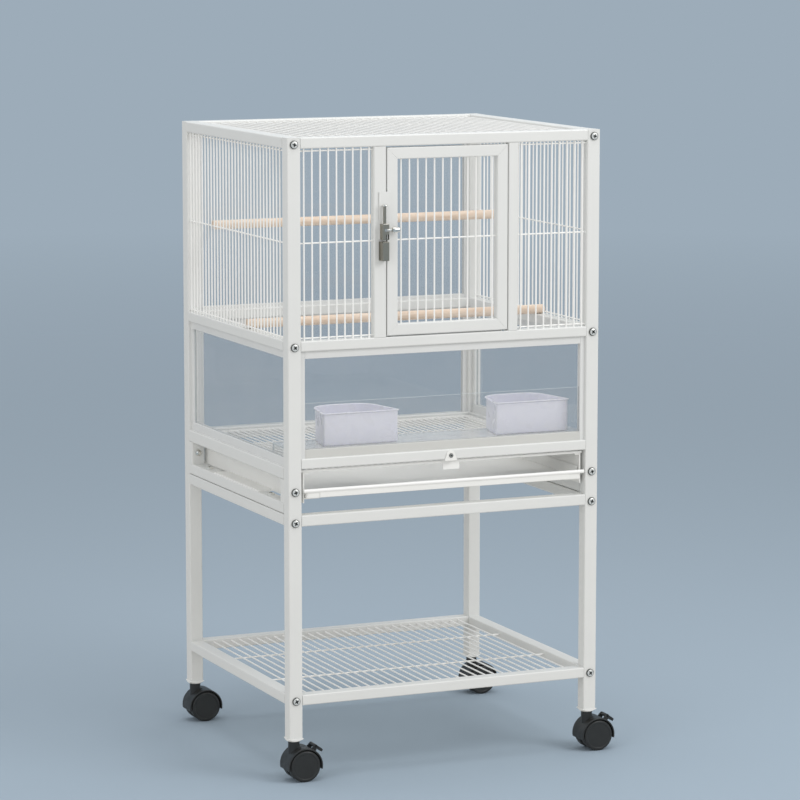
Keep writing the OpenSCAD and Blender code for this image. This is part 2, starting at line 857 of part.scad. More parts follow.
module feeder(x) {
    rim_h = 2;
    color(milky_plastic) in_place()
        translate([x, feeder_y, bench_z + slide_clear]) difference() {
            union() {
                linear_extrude(feeder_h) feeder_plan(0);
                translate([0, 0, feeder_h - rim_h]) linear_extrude(rim_h) feeder_plan(-feeder_rim);
            }
            translate([0, 0, feeder_wall]) linear_extrude(feeder_h) feeder_plan(feeder_wall);
        }
}

module left_feeder() feeder(left_feeder_x);
module right_feeder() feeder(right_feeder_x);

module feeder_bench() {
    w = cage_w - 2 * bench_in;
    h = bench_z - sill_top;
    color(clear_acrylic) in_place() translate([bench_in, bench_y, sill_top]) difference() {
        cube([w, bench_d, h]);
        translate([sheet_t, -cut, -cut]) cube([w - 2 * sheet_t, bench_d + 2 * cut, h - sheet_t + cut]);
    }
}

// Perches

// Round bar with its ends cut from below to sit on a side wire
module perch(y, wire_z, axis_z) {
    x0 = wire_in + wire_d / 2 + perch_clear;
    cut_l = cross_in + wire_d / 2 + perch_clear - x0;
    seat_z = wire_z + wire_d / 2 + pin_clear;
    color(pale_wood) in_place() difference() {
        rod_x(x0, cage_w - x0, y, axis_z, perch_d);
        for (x = [x0 - cut, cage_w - x0 - cut_l])
            translate([x, y - perch_d, axis_z - perch_d])
                cube([cut_l + cut, 2 * perch_d, seat_z - axis_z + perch_d]);
    }
}

module upper_perch() perch(upper_perch_y, cross_z, cross_z + wire_d / 2 + pin_clear);
module lower_perch() perch(lower_perch_y, middle_top + end_wire_in, middle_top + half_clear + perch_d / 2);

// Door with its hinge pins

module mitre(x, z, angle) {
    l = door_bar * sqrt(2);
    translate([x, -cut, z]) rotate([0, -angle, 0]) translate([0, 0, -mitre_line / 2])
        cube([l, cut + mitre_line, mitre_line]);
}

module door_frame() {
    w = door_x1 - door_x0;
    h = door_top_z - door_z;
    hollow = door_bar - tube_wall;
    color(white_coat) in_place() difference() {
        translate([door_x0, 0, door_z]) cube([w, door_t, h]);
        translate([door_x0 + door_bar, -cut, door_z + door_bar])
            cube([w - 2 * door_bar, door_t + 2 * cut, h - 2 * door_bar]);
        translate([door_x0 + tube_wall, tube_wall, door_z + tube_wall]) difference() {
            cube([w - 2 * tube_wall, door_t - 2 * tube_wall, h - 2 * tube_wall]);
            translate([hollow - tube_wall, -cut, hollow - tube_wall])
                cube([w - 2 * hollow, door_t + 2 * cut, h - 2 * hollow]);
        }
        rod_z(pin_x, pin_in_y, door_z - cut, door_z + tube_wall + cut, pin_d);
        rod_z(pin_x, pin_in_y, door_top_z - tube_wall - cut, door_top_z + cut, pin_d);
        mitre(door_x0, door_z, 45);
        mitre(door_x1, door_z, 135);
        mitre(door_x0, door_top_z, -45);
        mitre(door_x1, door_top_z, -135);
    }
}

module door_wires() {
    x0 = door_x0 + door_bar;
    x1 = door_x1 - door_bar;
    xs = spread(x0, x1, door_wires_n);
    color(white_coat) in_place()
        front_grid(xs, x0, x1, door_z + door_bar, door_top_z - door_bar, [cross_z]);
}

module door_pins() {
    color(nickel) in_place() {
        rod_z(pin_x, pin_in_y, middle_top - pin_run, door_z + pin_run, pin_d);
        rod_z(pin_x, pin_in_y, middle_top + latch_gap, door_z, shoulder_d);
        rod_z(pin_x, pin_in_y, door_top_z - pin_run, top_rail_z + pin_run, pin_d);
    }
}

// Latch: housing, rod and lever on the door, keeper block on the mullion

module latch_housing() {
    plate_x = latch_x - latch_plate_w / 2;
    lever_room = neck_d + 1;
    flap_x = door_x0 + latch_gap;
    color(grey_zinc) in_place() difference() {
        union() {
            translate([latch_x - latch_w / 2, -latch_face - latch_d, housing_z])
                cube([latch_w, latch_d, housing_h]);
            translate([plate_x, -latch_face, housing_z])
                cube([flap_x + flap_w - plate_x, latch_plate_t, latch_top_z - housing_z]);
            translate([flap_x, -latch_gap, housing_z]) cube([flap_w, latch_gap, latch_top_z - housing_z]);
        }
        rod_z(latch_x, rod_y, housing_z - cut, housing_z + housing_h + cut, rod_d + 2 * rod_clear);
        rod_z(latch_x, rod_y, housing_z - cut, lever_z + hub_h / 2 + latch_gap, chamber_d);
        translate([latch_x, rod_y - lever_room / 2, housing_z - cut])
            cube([latch_w, lever_room, lever_z - housing_z + lever_room / 2 + cut]);
        translate([latch_x - lever_room / 2, rod_y - latch_d, lever_z - lever_room / 2])
            cube([latch_w, latch_d, lever_room]);
        translate([latch_x - rod_clear, rod_y - latch_d, housing_z + notch_foot])
            cube([notch_w, latch_d, notch_h]);
    }
}

module latch_rod() {
    collar_top = lever_z - hub_h / 2 - latch_gap;
    color(nickel) in_place() {
        rod_z(latch_x, rod_y, rod_foot_z, rod_top_z, rod_d);
        rod_z(latch_x, rod_y, rod_top_z, rod_top_z + rod_cap_h, rod_cap_d);
        rod_z(latch_x, rod_y, collar_top - collar_h, collar_top, collar_d);
    }
}

// Hub round the rod, thin neck and a knob like a blunt bullet
module latch_lever() {
    knob_x = lever_l / 2;
    nose = knob_d / 2;
    color(nickel) in_place() translate([latch_x, rod_y, lever_z]) difference() {
        union() {
            rod_z(0, 0, -hub_h / 2, hub_h / 2, hub_d);
            rod_x(rod_d / 2 + cut, knob_x + cut, 0, 0, neck_d);
            rotate([0, 90, 0]) rotate_extrude() {
                translate([0, lever_l - nose]) intersection() {
                    circle(nose);
                    square(nose);
                }
                polygon([
                    [0, knob_x], [neck_d / 2, knob_x], [nose, lever_l - knob_d],
                    [nose, lever_l - nose], [0, lever_l - nose]
                ]);
            }
        }
        rod_z(0, 0, -hub_h, hub_h, rod_d + 2 * rod_clear);
    }
}

module latch_keeper() {
    color(grey_zinc) in_place() difference() {
        union() {
            translate([latch_x - latch_w / 2, -latch_face - latch_d, keeper_block_z])
                cube([latch_w, latch_d, keeper_block_h]);
            translate([latch_x - latch_plate_w / 2, -latch_face, keeper_block_z])
                cube([latch_plate_w, latch_face, keeper_block_h]);
        }
        rod_z(latch_x, rod_y, keeper_block_z + keeper_block_h - keeper_bore_l,
            keeper_block_z + keeper_block_h + cut, rod_d + 2 * bolt_clear);
    }
}

// Bolts

// Low dome that stands on the XY plane
module dome(w, h) {
    half = w / 2;
    dome_r = (half * half + h * h) / (2 * h);
    rotate_extrude() intersection() {
        translate([0, h - dome_r]) circle(dome_r);
        square([half, h]);
    }
}

// Bolt along +Y from a head in front of the face
module bolt(l) {
    rotate([-90, 0, 0]) cylinder(d = bolt_d, h = l);
    rotate([90, 0, 0]) dome(head_d, head_h);
}

module corner_bolts(x) {
    for (z = concat(bolt_levels_cage, bolt_levels_stand)) {
        at_tray = z == bolt_tray_z;
        through = post_w + (at_tray ? end_post_d + nut_depth : plug_d);
        translate([x, 0, z]) bolt(through);
        if (at_tray)
            translate([x, post_w + end_post_d, z]) rotate([-90, 0, 0]) difference() {
                dome(nut_w, nut_h);
                translate([0, 0, -cut]) cylinder(d = bolt_d, h = nut_depth + cut);
            }
    }
}

module bolts() {
    color(nickel) in_place() {
        for (x = [post_mid, cage_w - post_mid]) {
            corner_bolts(x);
            translate([0, cage_d, 0]) mirror([0, 1, 0]) corner_bolts(x);
            for (y = stand_bolt_ys)
                translate([x, y, base_rail_top]) rotate([-90, 0, 0])
                    bolt(base_rail_top - stand_rail_z - bolt_d);
        }
        translate([button_x, -latch_gap - button_t - latch_gap, button_z]) button_screw();
    }
}

module button_screw() {
    screw_head_d = 8;
    screw_head_h = 1.6;
    rod_y(0, -screw_head_h, 0, 0, screw_head_d);
    rod_y(0, -screw_head_h, button_t + 2 * latch_gap + pin_run, 0, button_screw_d);
}

// Casters

// Places a caster part so that its swivel stands under a leg
module under_leg(x, y) {
    in_place() translate([x, y, 0]) children();
}

module leg_caps() {
    plug_w = post_w - 2 * tube_wall - 2 * plug_gap;
    color(white_coat) for (x = [post_mid, cage_w - post_mid], y = [post_mid, cage_d - post_mid])
        under_leg(x, y) difference() {
            union() {
                intersection() {
                    translate([-cap_w / 2, -cap_w / 2, neck_top]) cube([cap_w, cap_w, cap_t]);
                    translate([0, 0, neck_top])
                        cylinder(d1 = caster_neck_d + cap_foot, d2 = cap_w * sqrt(2) + cap_foot, h = cap_t);
                }
                translate([-plug_w / 2, -plug_w / 2, leg_z]) cube([plug_w, plug_w, cap_plug_l]);
            }
            rod_z(0, 0, neck_top - cut, leg_z + cap_plug_l + cut, stem_d + 2 * caster_clear);
        }
}

module disc_y(r, t) {
    rotate([90, 0, 0]) cylinder(r = r, h = t, center = true);
}

// Hood with a web between the wheels, and lugs for the pedal where it has a brake
module caster(x, y, braked) {
    floor_cut = axle_z - hood_drop;
    lug_y = pedal_w / 2 + lug_gap;
    color(dark_plastic) under_leg(x, y) difference() {
        union() {
            difference() {
                union() {
                    translate([caster_trail, 0, axle_z]) disc_y(hood_r, hood_w);
                    rod_z(0, 0, axle_z + hood_r / 2, neck_top, caster_neck_d);
                }
                translate([caster_trail, 0, axle_z]) disc_y(hood_ri, hood_w + 2 * cut);
                translate([caster_trail - 2 * hood_r, -hood_r, floor_cut - 2 * hood_r])
                    cube([4 * hood_r, 2 * hood_r, 2 * hood_r]);
            }
            intersection() {
                translate([caster_trail, 0, axle_z]) disc_y(hood_r - hood_wall / 2, web_t);
                translate([caster_trail - hood_r, -hood_r, floor_cut])
                    cube([2 * hood_r, 2 * hood_r, 2 * hood_r]);
            }
            translate([caster_trail, 0, axle_z]) disc_y(axle_d + 2, web_t);
            rod_z(0, 0, neck_top - cut, neck_top + stem_l, stem_d);
            if (braked)
                for (side = [-1, 1])
                    translate([caster_trail, side * (lug_y + lug_t / 2), axle_z])
                        pedal_lug();
        }
        translate([caster_trail, 0, axle_z]) disc_y(axle_d / 2 + caster_clear, web_t + 2 * cut);
        if (braked)
            translate([caster_trail + pedal_x, 0, axle_z + pedal_z])
                disc_y(pedal_pin_d / 2 + caster_clear, 2 * (lug_y + lug_t + cut));
    }
}

// Lug from the top of the hood to the pedal's pin
module pedal_lug() {
    reach = norm([pedal_x, pedal_z]);
    translate([pedal_x, 0, pedal_z]) disc_y(barrel_d / 2, lug_t);
    rotate([0, 90 - atan2(pedal_z, pedal_x), 0])
        translate([-barrel_d / 2, -lug_t / 2, hood_r - hood_wall])
            cube([barrel_d, lug_t, reach - hood_r + hood_wall]);
}

module wheels(x, y) {
    r = wheel_d / 2;
    dish = 0.8;
    color(dark_plastic) under_leg(x, y) translate([caster_trail, 0, axle_z]) {
        disc_y(axle_d / 2, wheel_gap + 2 * cut);
        for (turn = [0, 180])
            rotate([90, 0, turn]) translate([0, 0, wheel_gap / 2]) rotate_extrude() difference() {
                union() {
                    square([r - wheel_edge, wheel_w]);
                    translate([0, wheel_edge]) square([r, wheel_w - 2 * wheel_edge]);
                    for (z = [wheel_edge, wheel_w - wheel_edge])
                        translate([r - wheel_edge, z]) circle(wheel_edge);
                }
                translate([0, wheel_w - dish]) square([r - 2 * wheel_edge, dish + cut]);
            }
    }
}

module brake(x, y) {
    color(dark_plastic) under_leg(x, y)
        translate([caster_trail + pedal_x, 0, axle_z + pedal_z]) {
            disc_y(pedal_pin_d / 2, pedal_w + 2 * (lug_gap + lug_t));
            rotate([90, 0, 0]) linear_extrude(pedal_w, center = true) union() {
                circle(barrel_d / 2);
                rotate(-pedal_tilt) translate([0, -pedal_t / 2]) square([pedal_l, pedal_t]);
            }
        }
}

module front_left_caster() caster(post_mid, post_mid, true);
module front_right_caster() caster(cage_w - post_mid, post_mid, true);
module rear_left_caster() caster(post_mid, cage_d - post_mid, false);
module rear_right_caster() caster(cage_w - post_mid, cage_d - post_mid, false);
module front_left_wheels() wheels(post_mid, post_mid);
module front_right_wheels() wheels(cage_w - post_mid, post_mid);
module rear_left_wheels() wheels(post_mid, cage_d - post_mid);
module rear_right_wheels() wheels(cage_w - post_mid, cage_d - post_mid);
module front_left_brake() brake(post_mid, post_mid);
module front_right_brake() brake(cage_w - post_mid, post_mid);

front_left_post();
front_right_post();
rear_left_post();
rear_right_post();
front_left_leg();
front_right_leg();
rear_left_leg();
rear_right_leg();
front_top_rail();
front_middle_rail();
front_lower_rail();
left_mullion();
right_mullion();
rear_rails();
side_rails();
left_base_frame();
right_base_frame();
stand_top_rails();
shelf_rails();
left_wire_panel();
right_wire_panel();
front_wires();
roof_wires();
shelf_wires();
left_window();
right_window();
rear_lower_window();
rear_upper_window();
front_channel();
side_channels();
rear_channels();
tray_runners();
feeder_bench();
bolts();
leg_caps();
latch_keeper();
door_frame();
door_wires();
door_pins();
latch_housing();
latch_rod();
latch_lever();
front_half_panel();
floor_grate();
tray();
grate_keeper();
left_feeder();
right_feeder();
upper_perch();
lower_perch();
front_left_caster();
front_right_caster();
rear_left_caster();
rear_right_caster();
front_left_wheels();
front_right_wheels();
rear_left_wheels();
rear_right_wheels();
front_left_brake();
front_right_brake();
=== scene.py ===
"""Looks of the bird cage: powder coated tube and wire, acrylic windows, feeders, perches and casters."""

from math import acos, atan2, cos, hypot, pi, radians, sin, sqrt

import bmesh
import bpy
from mathutils import Matrix, Vector


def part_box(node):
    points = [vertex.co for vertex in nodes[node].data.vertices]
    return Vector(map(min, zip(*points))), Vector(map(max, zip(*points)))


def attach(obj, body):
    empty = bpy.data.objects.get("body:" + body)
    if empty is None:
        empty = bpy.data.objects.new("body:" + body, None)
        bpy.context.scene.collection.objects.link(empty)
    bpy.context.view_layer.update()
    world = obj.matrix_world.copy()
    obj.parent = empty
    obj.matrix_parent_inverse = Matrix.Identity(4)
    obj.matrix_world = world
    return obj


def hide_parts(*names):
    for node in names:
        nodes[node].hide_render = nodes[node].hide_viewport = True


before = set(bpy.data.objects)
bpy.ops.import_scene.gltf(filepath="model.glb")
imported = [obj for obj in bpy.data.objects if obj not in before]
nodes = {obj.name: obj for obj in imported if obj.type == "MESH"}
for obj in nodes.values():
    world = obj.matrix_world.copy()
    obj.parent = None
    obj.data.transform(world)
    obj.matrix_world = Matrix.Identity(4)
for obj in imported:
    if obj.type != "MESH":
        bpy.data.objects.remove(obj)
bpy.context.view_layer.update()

# The cage is laid out in millimetres from the outer corner of its front left post, on the floor
CORNER = Vector((-280.5, -234.0, 0.0))
WIDE, DEEP = 535.0, 468.0
POST = 22.0
CENTRE = POST / 2  # middle of a post, from the cage's outer faces


def node_box(name):
    """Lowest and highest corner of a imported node, in the cage's millimetres."""
    lo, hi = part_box(name)
    return lo * 1000 - CORNER, hi * 1000 - CORNER


# ---- Finishes

def linear(code):
    """An sRGB hex colour as the linear colour that the shaders take."""
    parts = [int(code[i:i + 2], 16) / 255 for i in (1, 3, 5)]
    return (*[c / 12.92 if c <= 0.04045 else ((c + 0.055) / 1.055) ** 2.4 for c in parts], 1.0)


def per_metre(size_mm):
    """Pattern scale at which one cell of a texture is this many millimetres."""
    return 1000 / size_mm


def add(tree, kind, links=None, **settings):
    """Adds a node with its settings. A link is an output to join or a value to set on that socket."""
    made = tree.nodes.new("ShaderNode" + kind)
    for name, value in settings.items():
        setattr(made, name, value)
    for socket, value in (links or {}).items():
        if isinstance(value, bpy.types.NodeSocket):
            tree.links.new(value, made.inputs[socket])
        else:
            made.inputs[socket].default_value = value
    return made


def new_finish(name):
    finish = bpy.data.materials.new(name)
    finish.use_nodes = True
    finish.node_tree.nodes.clear()
    return finish, finish.node_tree


def blend_of(tree, amount, first, second):
    """Colour between two hex colours."""
    mix = add(tree, "Mix", {0: amount, 6: linear(first), 7: linear(second)}, data_type="RGBA")
    return mix.outputs[2]


def spread_of(tree, value, low, high, out_low, out_high):
    ranged = add(tree, "MapRange", {0: value, 1: low, 2: high, 3: out_low, 4: out_high})
    return ranged.outputs[0]


# Polyester powder coat, sprayed on steel tube and baked: an even satin white whose faint
# orange peel breaks up the shine. Real peel is under 1 mm across, drawn at 2.4 mm to show.
def powder_coat(name, light, dark, roughness, peel_mm, peel_depth):
    finish, tree = new_finish(name)
    where = add(tree, "TexCoord").outputs["Object"]
    film = add(tree, "TexNoise", {"Vector": where, "Scale": per_metre(70), "Detail": 3.0})
    peel = add(tree, "TexNoise", {"Vector": where, "Scale": per_metre(peel_mm), "Detail": 2.0})
    bump = add(tree, "Bump", {"Height": peel.outputs[0], "Strength": 0.35, "Distance": peel_depth})
    coat = add(tree, "BsdfPrincipled", {
        "Base Color": blend_of(tree, film.outputs[0], light, dark),
        "Roughness": spread_of(tree, film.outputs[0], 0.3, 0.7, roughness - 0.05, roughness + 0.05),
        "IOR": 1.5, "Normal": bump.outputs[0]})
    add(tree, "OutputMaterial", {"Surface": coat.outputs[0]})
    return finish


coated_tube = powder_coat("powder_coated_steel_tube", "#E3E4E2", "#DDDEDC", 0.42, 2.4, 0.00012)
# The same powder on 2.5 mm wire is smoother, and is painted whiter than on the tube: a painted highlight
# for the shine that round wires catch.
coated_wire = powder_coat("powder_coated_wire", "#F8F8F6", "#F2F2F0", 0.36, 1.2, 0.00004)
# Folded steel sheet under the same powder, flatter: painted a cleaner white than the tube, as painted light
# for the shaded inside of the tray.
coated_sheet = powder_coat("powder_coated_steel_sheet", "#F3F3F0", "#EDEDEA", 0.4, 3.0, 0.0001)
# Extruded PVC channel around the windows: smoother than powder, a touch cooler.
channel_pvc = powder_coat("extruded_white_channel", "#E1E2E1", "#DBDCDB", 0.38, 4.0, 0.00004)
# The front window's lowest strip is painted darker and a touch warmer, as painted shade for its recess
# behind the half panel; it is also duller.
shaded_sill_pvc = powder_coat("sill_channel_painted_shade", "#D1D1CD", "#C9C9C5", 0.5, 4.0, 0.00004)


# Cast acrylic, polished: clear and neutral, a clean reflection that grows towards the edge of
# view, and a light haze of wiping marks about 60 mm across. Only the front of a face reflects.
def cast_acrylic(name, least_haze, most_haze):
    finish, tree = new_finish(name)
    where = add(tree, "TexCoord").outputs["Object"]
    wiped = add(tree, "TexNoise", {"Vector": where, "Scale": per_metre(60), "Detail": 4.0})
    clear = add(tree, "BsdfTransparent", {"Color": linear("#FBFBFB")})
    shine = add(tree, "BsdfAnisotropic", {
        "Color": linear("#FFFFFF"),
        "Roughness": spread_of(tree, wiped.outputs[0], 0.35, 0.65, 0.02, 0.07)})
    haze = add(tree, "BsdfDiffuse", {"Color": linear("#E3E6E8")})
    fresnel = add(tree, "Fresnel", {"IOR": 1.49})
    backfacing = add(tree, "NewGeometry").outputs["Backfacing"]
    outside = add(tree, "Math", {0: 1.0, 1: backfacing}, operation="SUBTRACT")
    mirror = add(tree, "Math", {0: fresnel.outputs[0], 1: outside.outputs[0]}, operation="MULTIPLY")
    glass = add(tree, "MixShader", {0: mirror.outputs[0], 1: clear.outputs[0], 2: shine.outputs[0]})
    amount = spread_of(tree, wiped.outputs[0], 0.3, 0.7, least_haze, most_haze)
    film = add(tree, "MixShader", {0: amount, 1: glass.outputs[0], 2: haze.outputs[0]})
    add(tree, "OutputMaterial", {"Surface": film.outputs[0]})
    return finish


# The sawn and scraped edge of the same sheet: it gathers light, so it reads as a pale line.
# Saw marks 1.5 mm apart.
def sawn_edge():
    finish, tree = new_finish("sawn_acrylic_edge")
    where = add(tree, "TexCoord").outputs["Object"]
    marks = add(tree, "TexNoise", {"Vector": where, "Scale": per_metre(1.5), "Detail": 1.0})
    bump = add(tree, "Bump", {"Height": marks.outputs[0], "Strength": 0.3, "Distance": 0.0001})
    edge = add(tree, "BsdfPrincipled", {
        "Base Color": blend_of(tree, marks.outputs[0], "#E3E9EB", "#D2DADD"),
        "Roughness": 0.35, "IOR": 1.49, "Normal": bump.outputs[0]})
    clear = add(tree, "BsdfTransparent", {"Color": linear("#EEF2F3")})
    mix = add(tree, "MixShader", {0: 0.5, 1: clear.outputs[0], 2: edge.outputs[0]})
    add(tree, "OutputMaterial", {"Surface": mix.outputs[0]})
    return finish


# Injection moulded milky polystyrene: lavender white, light passes a little way into it.
# Flow marks from the gate, about 25 mm apart.
def milky_plastic():
    finish, tree = new_finish("milky_moulded_polystyrene")
    where = add(tree, "TexCoord").outputs["Object"]
    flow = add(tree, "TexNoise", {"Vector": where, "Scale": per_metre(25), "Detail": 2.0})
    grain = add(tree, "TexNoise", {"Vector": where, "Scale": per_metre(1.5), "Detail": 1.0})
    bump = add(tree, "Bump", {"Height": grain.outputs[0], "Strength": 0.15, "Distance": 0.00005})
    body = add(tree, "BsdfPrincipled", {
        "Base Color": blend_of(tree, flow.outputs[0], "#EFEFF9", "#E7E8F3"),
        "Roughness": spread_of(tree, flow.outputs[0], 0.3, 0.7, 0.24, 0.34), "IOR": 1.59,
        "Subsurface Weight": 0.25, "Subsurface Radius": (0.004, 0.004, 0.005), "Subsurface Scale": 1.0,
        "Normal": bump.outputs[0]})
    clear = add(tree, "BsdfTransparent", {"Color": linear("#E4E4EE")})
    mix = add(tree, "MixShader", {0: 0.97, 1: clear.outputs[0], 2: body.outputs[0]})
    add(tree, "OutputMaterial", {"Surface": mix.outputs[0]})
    return finish


# Beech dowel, turned and sanded, unvarnished: pale with darker growth streaks 6 mm apart along
# the bar and short flecks. Flecks are 0.3 mm wide in life, drawn at 0.8 mm.
def beech_dowel():
    finish, tree = new_finish("sanded_beech_dowel")
    where = add(tree, "TexCoord").outputs["Object"]
    along = add(tree, "Mapping", {"Vector": where, "Scale": (0.06, 1.0, 1.0)})
    rings = add(tree, "TexNoise", {
        "Vector": along.outputs[0], "Scale": per_metre(6), "Detail": 5.0, "Roughness": 0.6})
    flecked = add(tree, "Mapping", {"Vector": where, "Scale": (0.12, 1.0, 1.0)})
    flecks = add(tree, "TexNoise", {"Vector": flecked.outputs[0], "Scale": per_metre(0.8), "Detail": 2.0})
    body = blend_of(tree, spread_of(tree, rings.outputs[0], 0.35, 0.65, 0.0, 1.0), "#EDDDCD", "#E0C9B4")
    amount = spread_of(tree, flecks.outputs[0], 0.6, 0.72, 0.0, 0.5)
    fleck = add(tree, "Mix", {0: amount, 6: body, 7: linear("#CBAC95")}, data_type="RGBA")
    bump = add(tree, "Bump", {"Height": flecks.outputs[0], "Strength": 0.3, "Distance": 0.0001})
    wood = add(tree, "BsdfPrincipled", {
        "Base Color": fleck.outputs[2], "Roughness": spread_of(tree, rings.outputs[0], 0.3, 0.7, 0.55, 0.7),
        "IOR": 1.5, "Normal": bump.outputs[0]})
    add(tree, "OutputMaterial", {"Surface": wood.outputs[0]})
    return finish


# Plated or cast metal. Grain breaks the reflection, and handling leaves it uneven.
def bare_metal(name, light, dark, roughness, grain_mm, depth, bare=1.0):
    finish, tree = new_finish(name)
    where = add(tree, "TexCoord").outputs["Object"]
    grain = add(tree, "TexNoise", {"Vector": where, "Scale": per_metre(grain_mm), "Detail": 3.0})
    bump = add(tree, "Bump", {"Height": grain.outputs[0], "Strength": 0.25, "Distance": depth})
    metal = add(tree, "BsdfPrincipled", {
        "Base Color": blend_of(tree, grain.outputs[0], light, dark), "Metallic": bare,
        "Roughness": spread_of(tree, grain.outputs[0], 0.3, 0.7, roughness - 0.05, roughness + 0.06),
        "Normal": bump.outputs[0]})
    add(tree, "OutputMaterial", {"Surface": metal.outputs[0]})
    return finish


# Nickel plate over steel, barrel plated: bright, with soft broken reflections.
bright_nickel = bare_metal("bright_nickel_plate", "#EEEAE2", "#DEDAD2", 0.28, 3.0, 0.00003)
# Zinc plate with a clear passivation: its film scatters light, so bolt heads are pale, not mirrors.
passivated_zinc = bare_metal("clear_passivated_zinc", "#F2F0EA", "#E2E0DA", 0.36, 2.0, 0.00003, bare=0.55)
# Painted shade: a dark nickel for the sockets, slots and bores, and for the outer edge of a bolt head,
# where shade falls.
shade_painted_nickel = bare_metal("nickel_recess_painted_shade", "#73726C", "#5C5B56", 0.45, 1.0, 0.00005)
# Zinc die casting, tumbled: grey with a fine sandy grain of 0.4 mm, drawn at 0.8 mm.
cast_zinc = bare_metal("tumbled_zinc_casting", "#ACA699", "#989285", 0.42, 0.8, 0.00008)


# Moulded nylon with a spark eroded grain of 0.3 mm, drawn at 0.9 mm: black with a soft grey sheen.
def moulded_nylon(name, light, dark, roughness):
    finish, tree = new_finish(name)
    where = add(tree, "TexCoord").outputs["Object"]
    grain = add(tree, "TexNoise", {"Vector": where, "Scale": per_metre(0.9), "Detail": 2.0})
    worn = add(tree, "TexNoise", {"Vector": where, "Scale": per_metre(14), "Detail": 3.0})
    bump = add(tree, "Bump", {"Height": grain.outputs[0], "Strength": 0.3, "Distance": 0.0001})
    nylon = add(tree, "BsdfPrincipled", {
        "Base Color": blend_of(tree, worn.outputs[0], light, dark),
        "Roughness": spread_of(tree, worn.outputs[0], 0.3, 0.7, roughness - 0.06, roughness + 0.08),
        "IOR": 1.53, "Normal": bump.outputs[0]})
    add(tree, "OutputMaterial", {"Surface": nylon.outputs[0]})
    return finish


black_nylon = moulded_nylon("black_moulded_nylon", "#2B2B29", "#222220", 0.42)
# The tread is rubbed on floors, so it is greyer and duller.
tread_nylon = moulded_nylon("rubbed_nylon_tread", "#333331", "#272725", 0.55)
# Pressed in polyethylene caps at the legs' feet: dull and a little whiter than the coat on the tube.
white_cap = powder_coat("moulded_white_polyethylene", "#EDEEEC", "#E6E7E5", 0.5, 1.2, 0.00006)
acrylic, acrylic_edge = cast_acrylic("clear_cast_acrylic", 0.02, 0.045), sawn_edge()
# The bench's sheet is rubbed by cups and feet, so it is hazier and paler than the windows.
rubbed_acrylic = cast_acrylic("rubbed_cast_acrylic", 0.26, 0.36)
milky = milky_plastic()
beech = beech_dowel()

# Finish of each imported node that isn't plain coated tube
node_finish = {}
for finish, names in (
        (coated_wire, ("left_wire_panel", "right_wire_panel", "front_wires", "roof_wires", "shelf_wires",
                       "door_wires", "floor_grate")),
        (coated_sheet, ("tray", "tray_runners", "grate_keeper")),
        (channel_pvc, ("front_channel", "side_channels", "rear_channels")),
        (acrylic, ("left_window", "right_window", "rear_lower_window", "rear_upper_window",
                   "front_half_panel", "feeder_bench")),
        (milky, ("left_feeder", "right_feeder")),
        (beech, ("upper_perch", "lower_perch")),
        (bright_nickel, ("bolts", "door_pins", "latch_rod", "latch_lever")),
        (cast_zinc, ("latch_housing", "latch_keeper")),
        (white_cap, ("leg_caps",)),
        (black_nylon, [name for name in nodes if name.endswith(("caster", "wheels", "brake"))])):
    node_finish.update({name: finish for name in names})
for name, node in nodes.items():
    node.data.materials.clear()
    node.data.materials.append(node_finish.get(name, coated_tube))


# ---- Pieces in mesh code

THIN_TIP = 0.01  # least radius of a turned form, so that no ring falls into one point
WELD = 1e-4  # points closer than this are joined
CREASE = radians(38)  # edges that bend more than this stay sharp


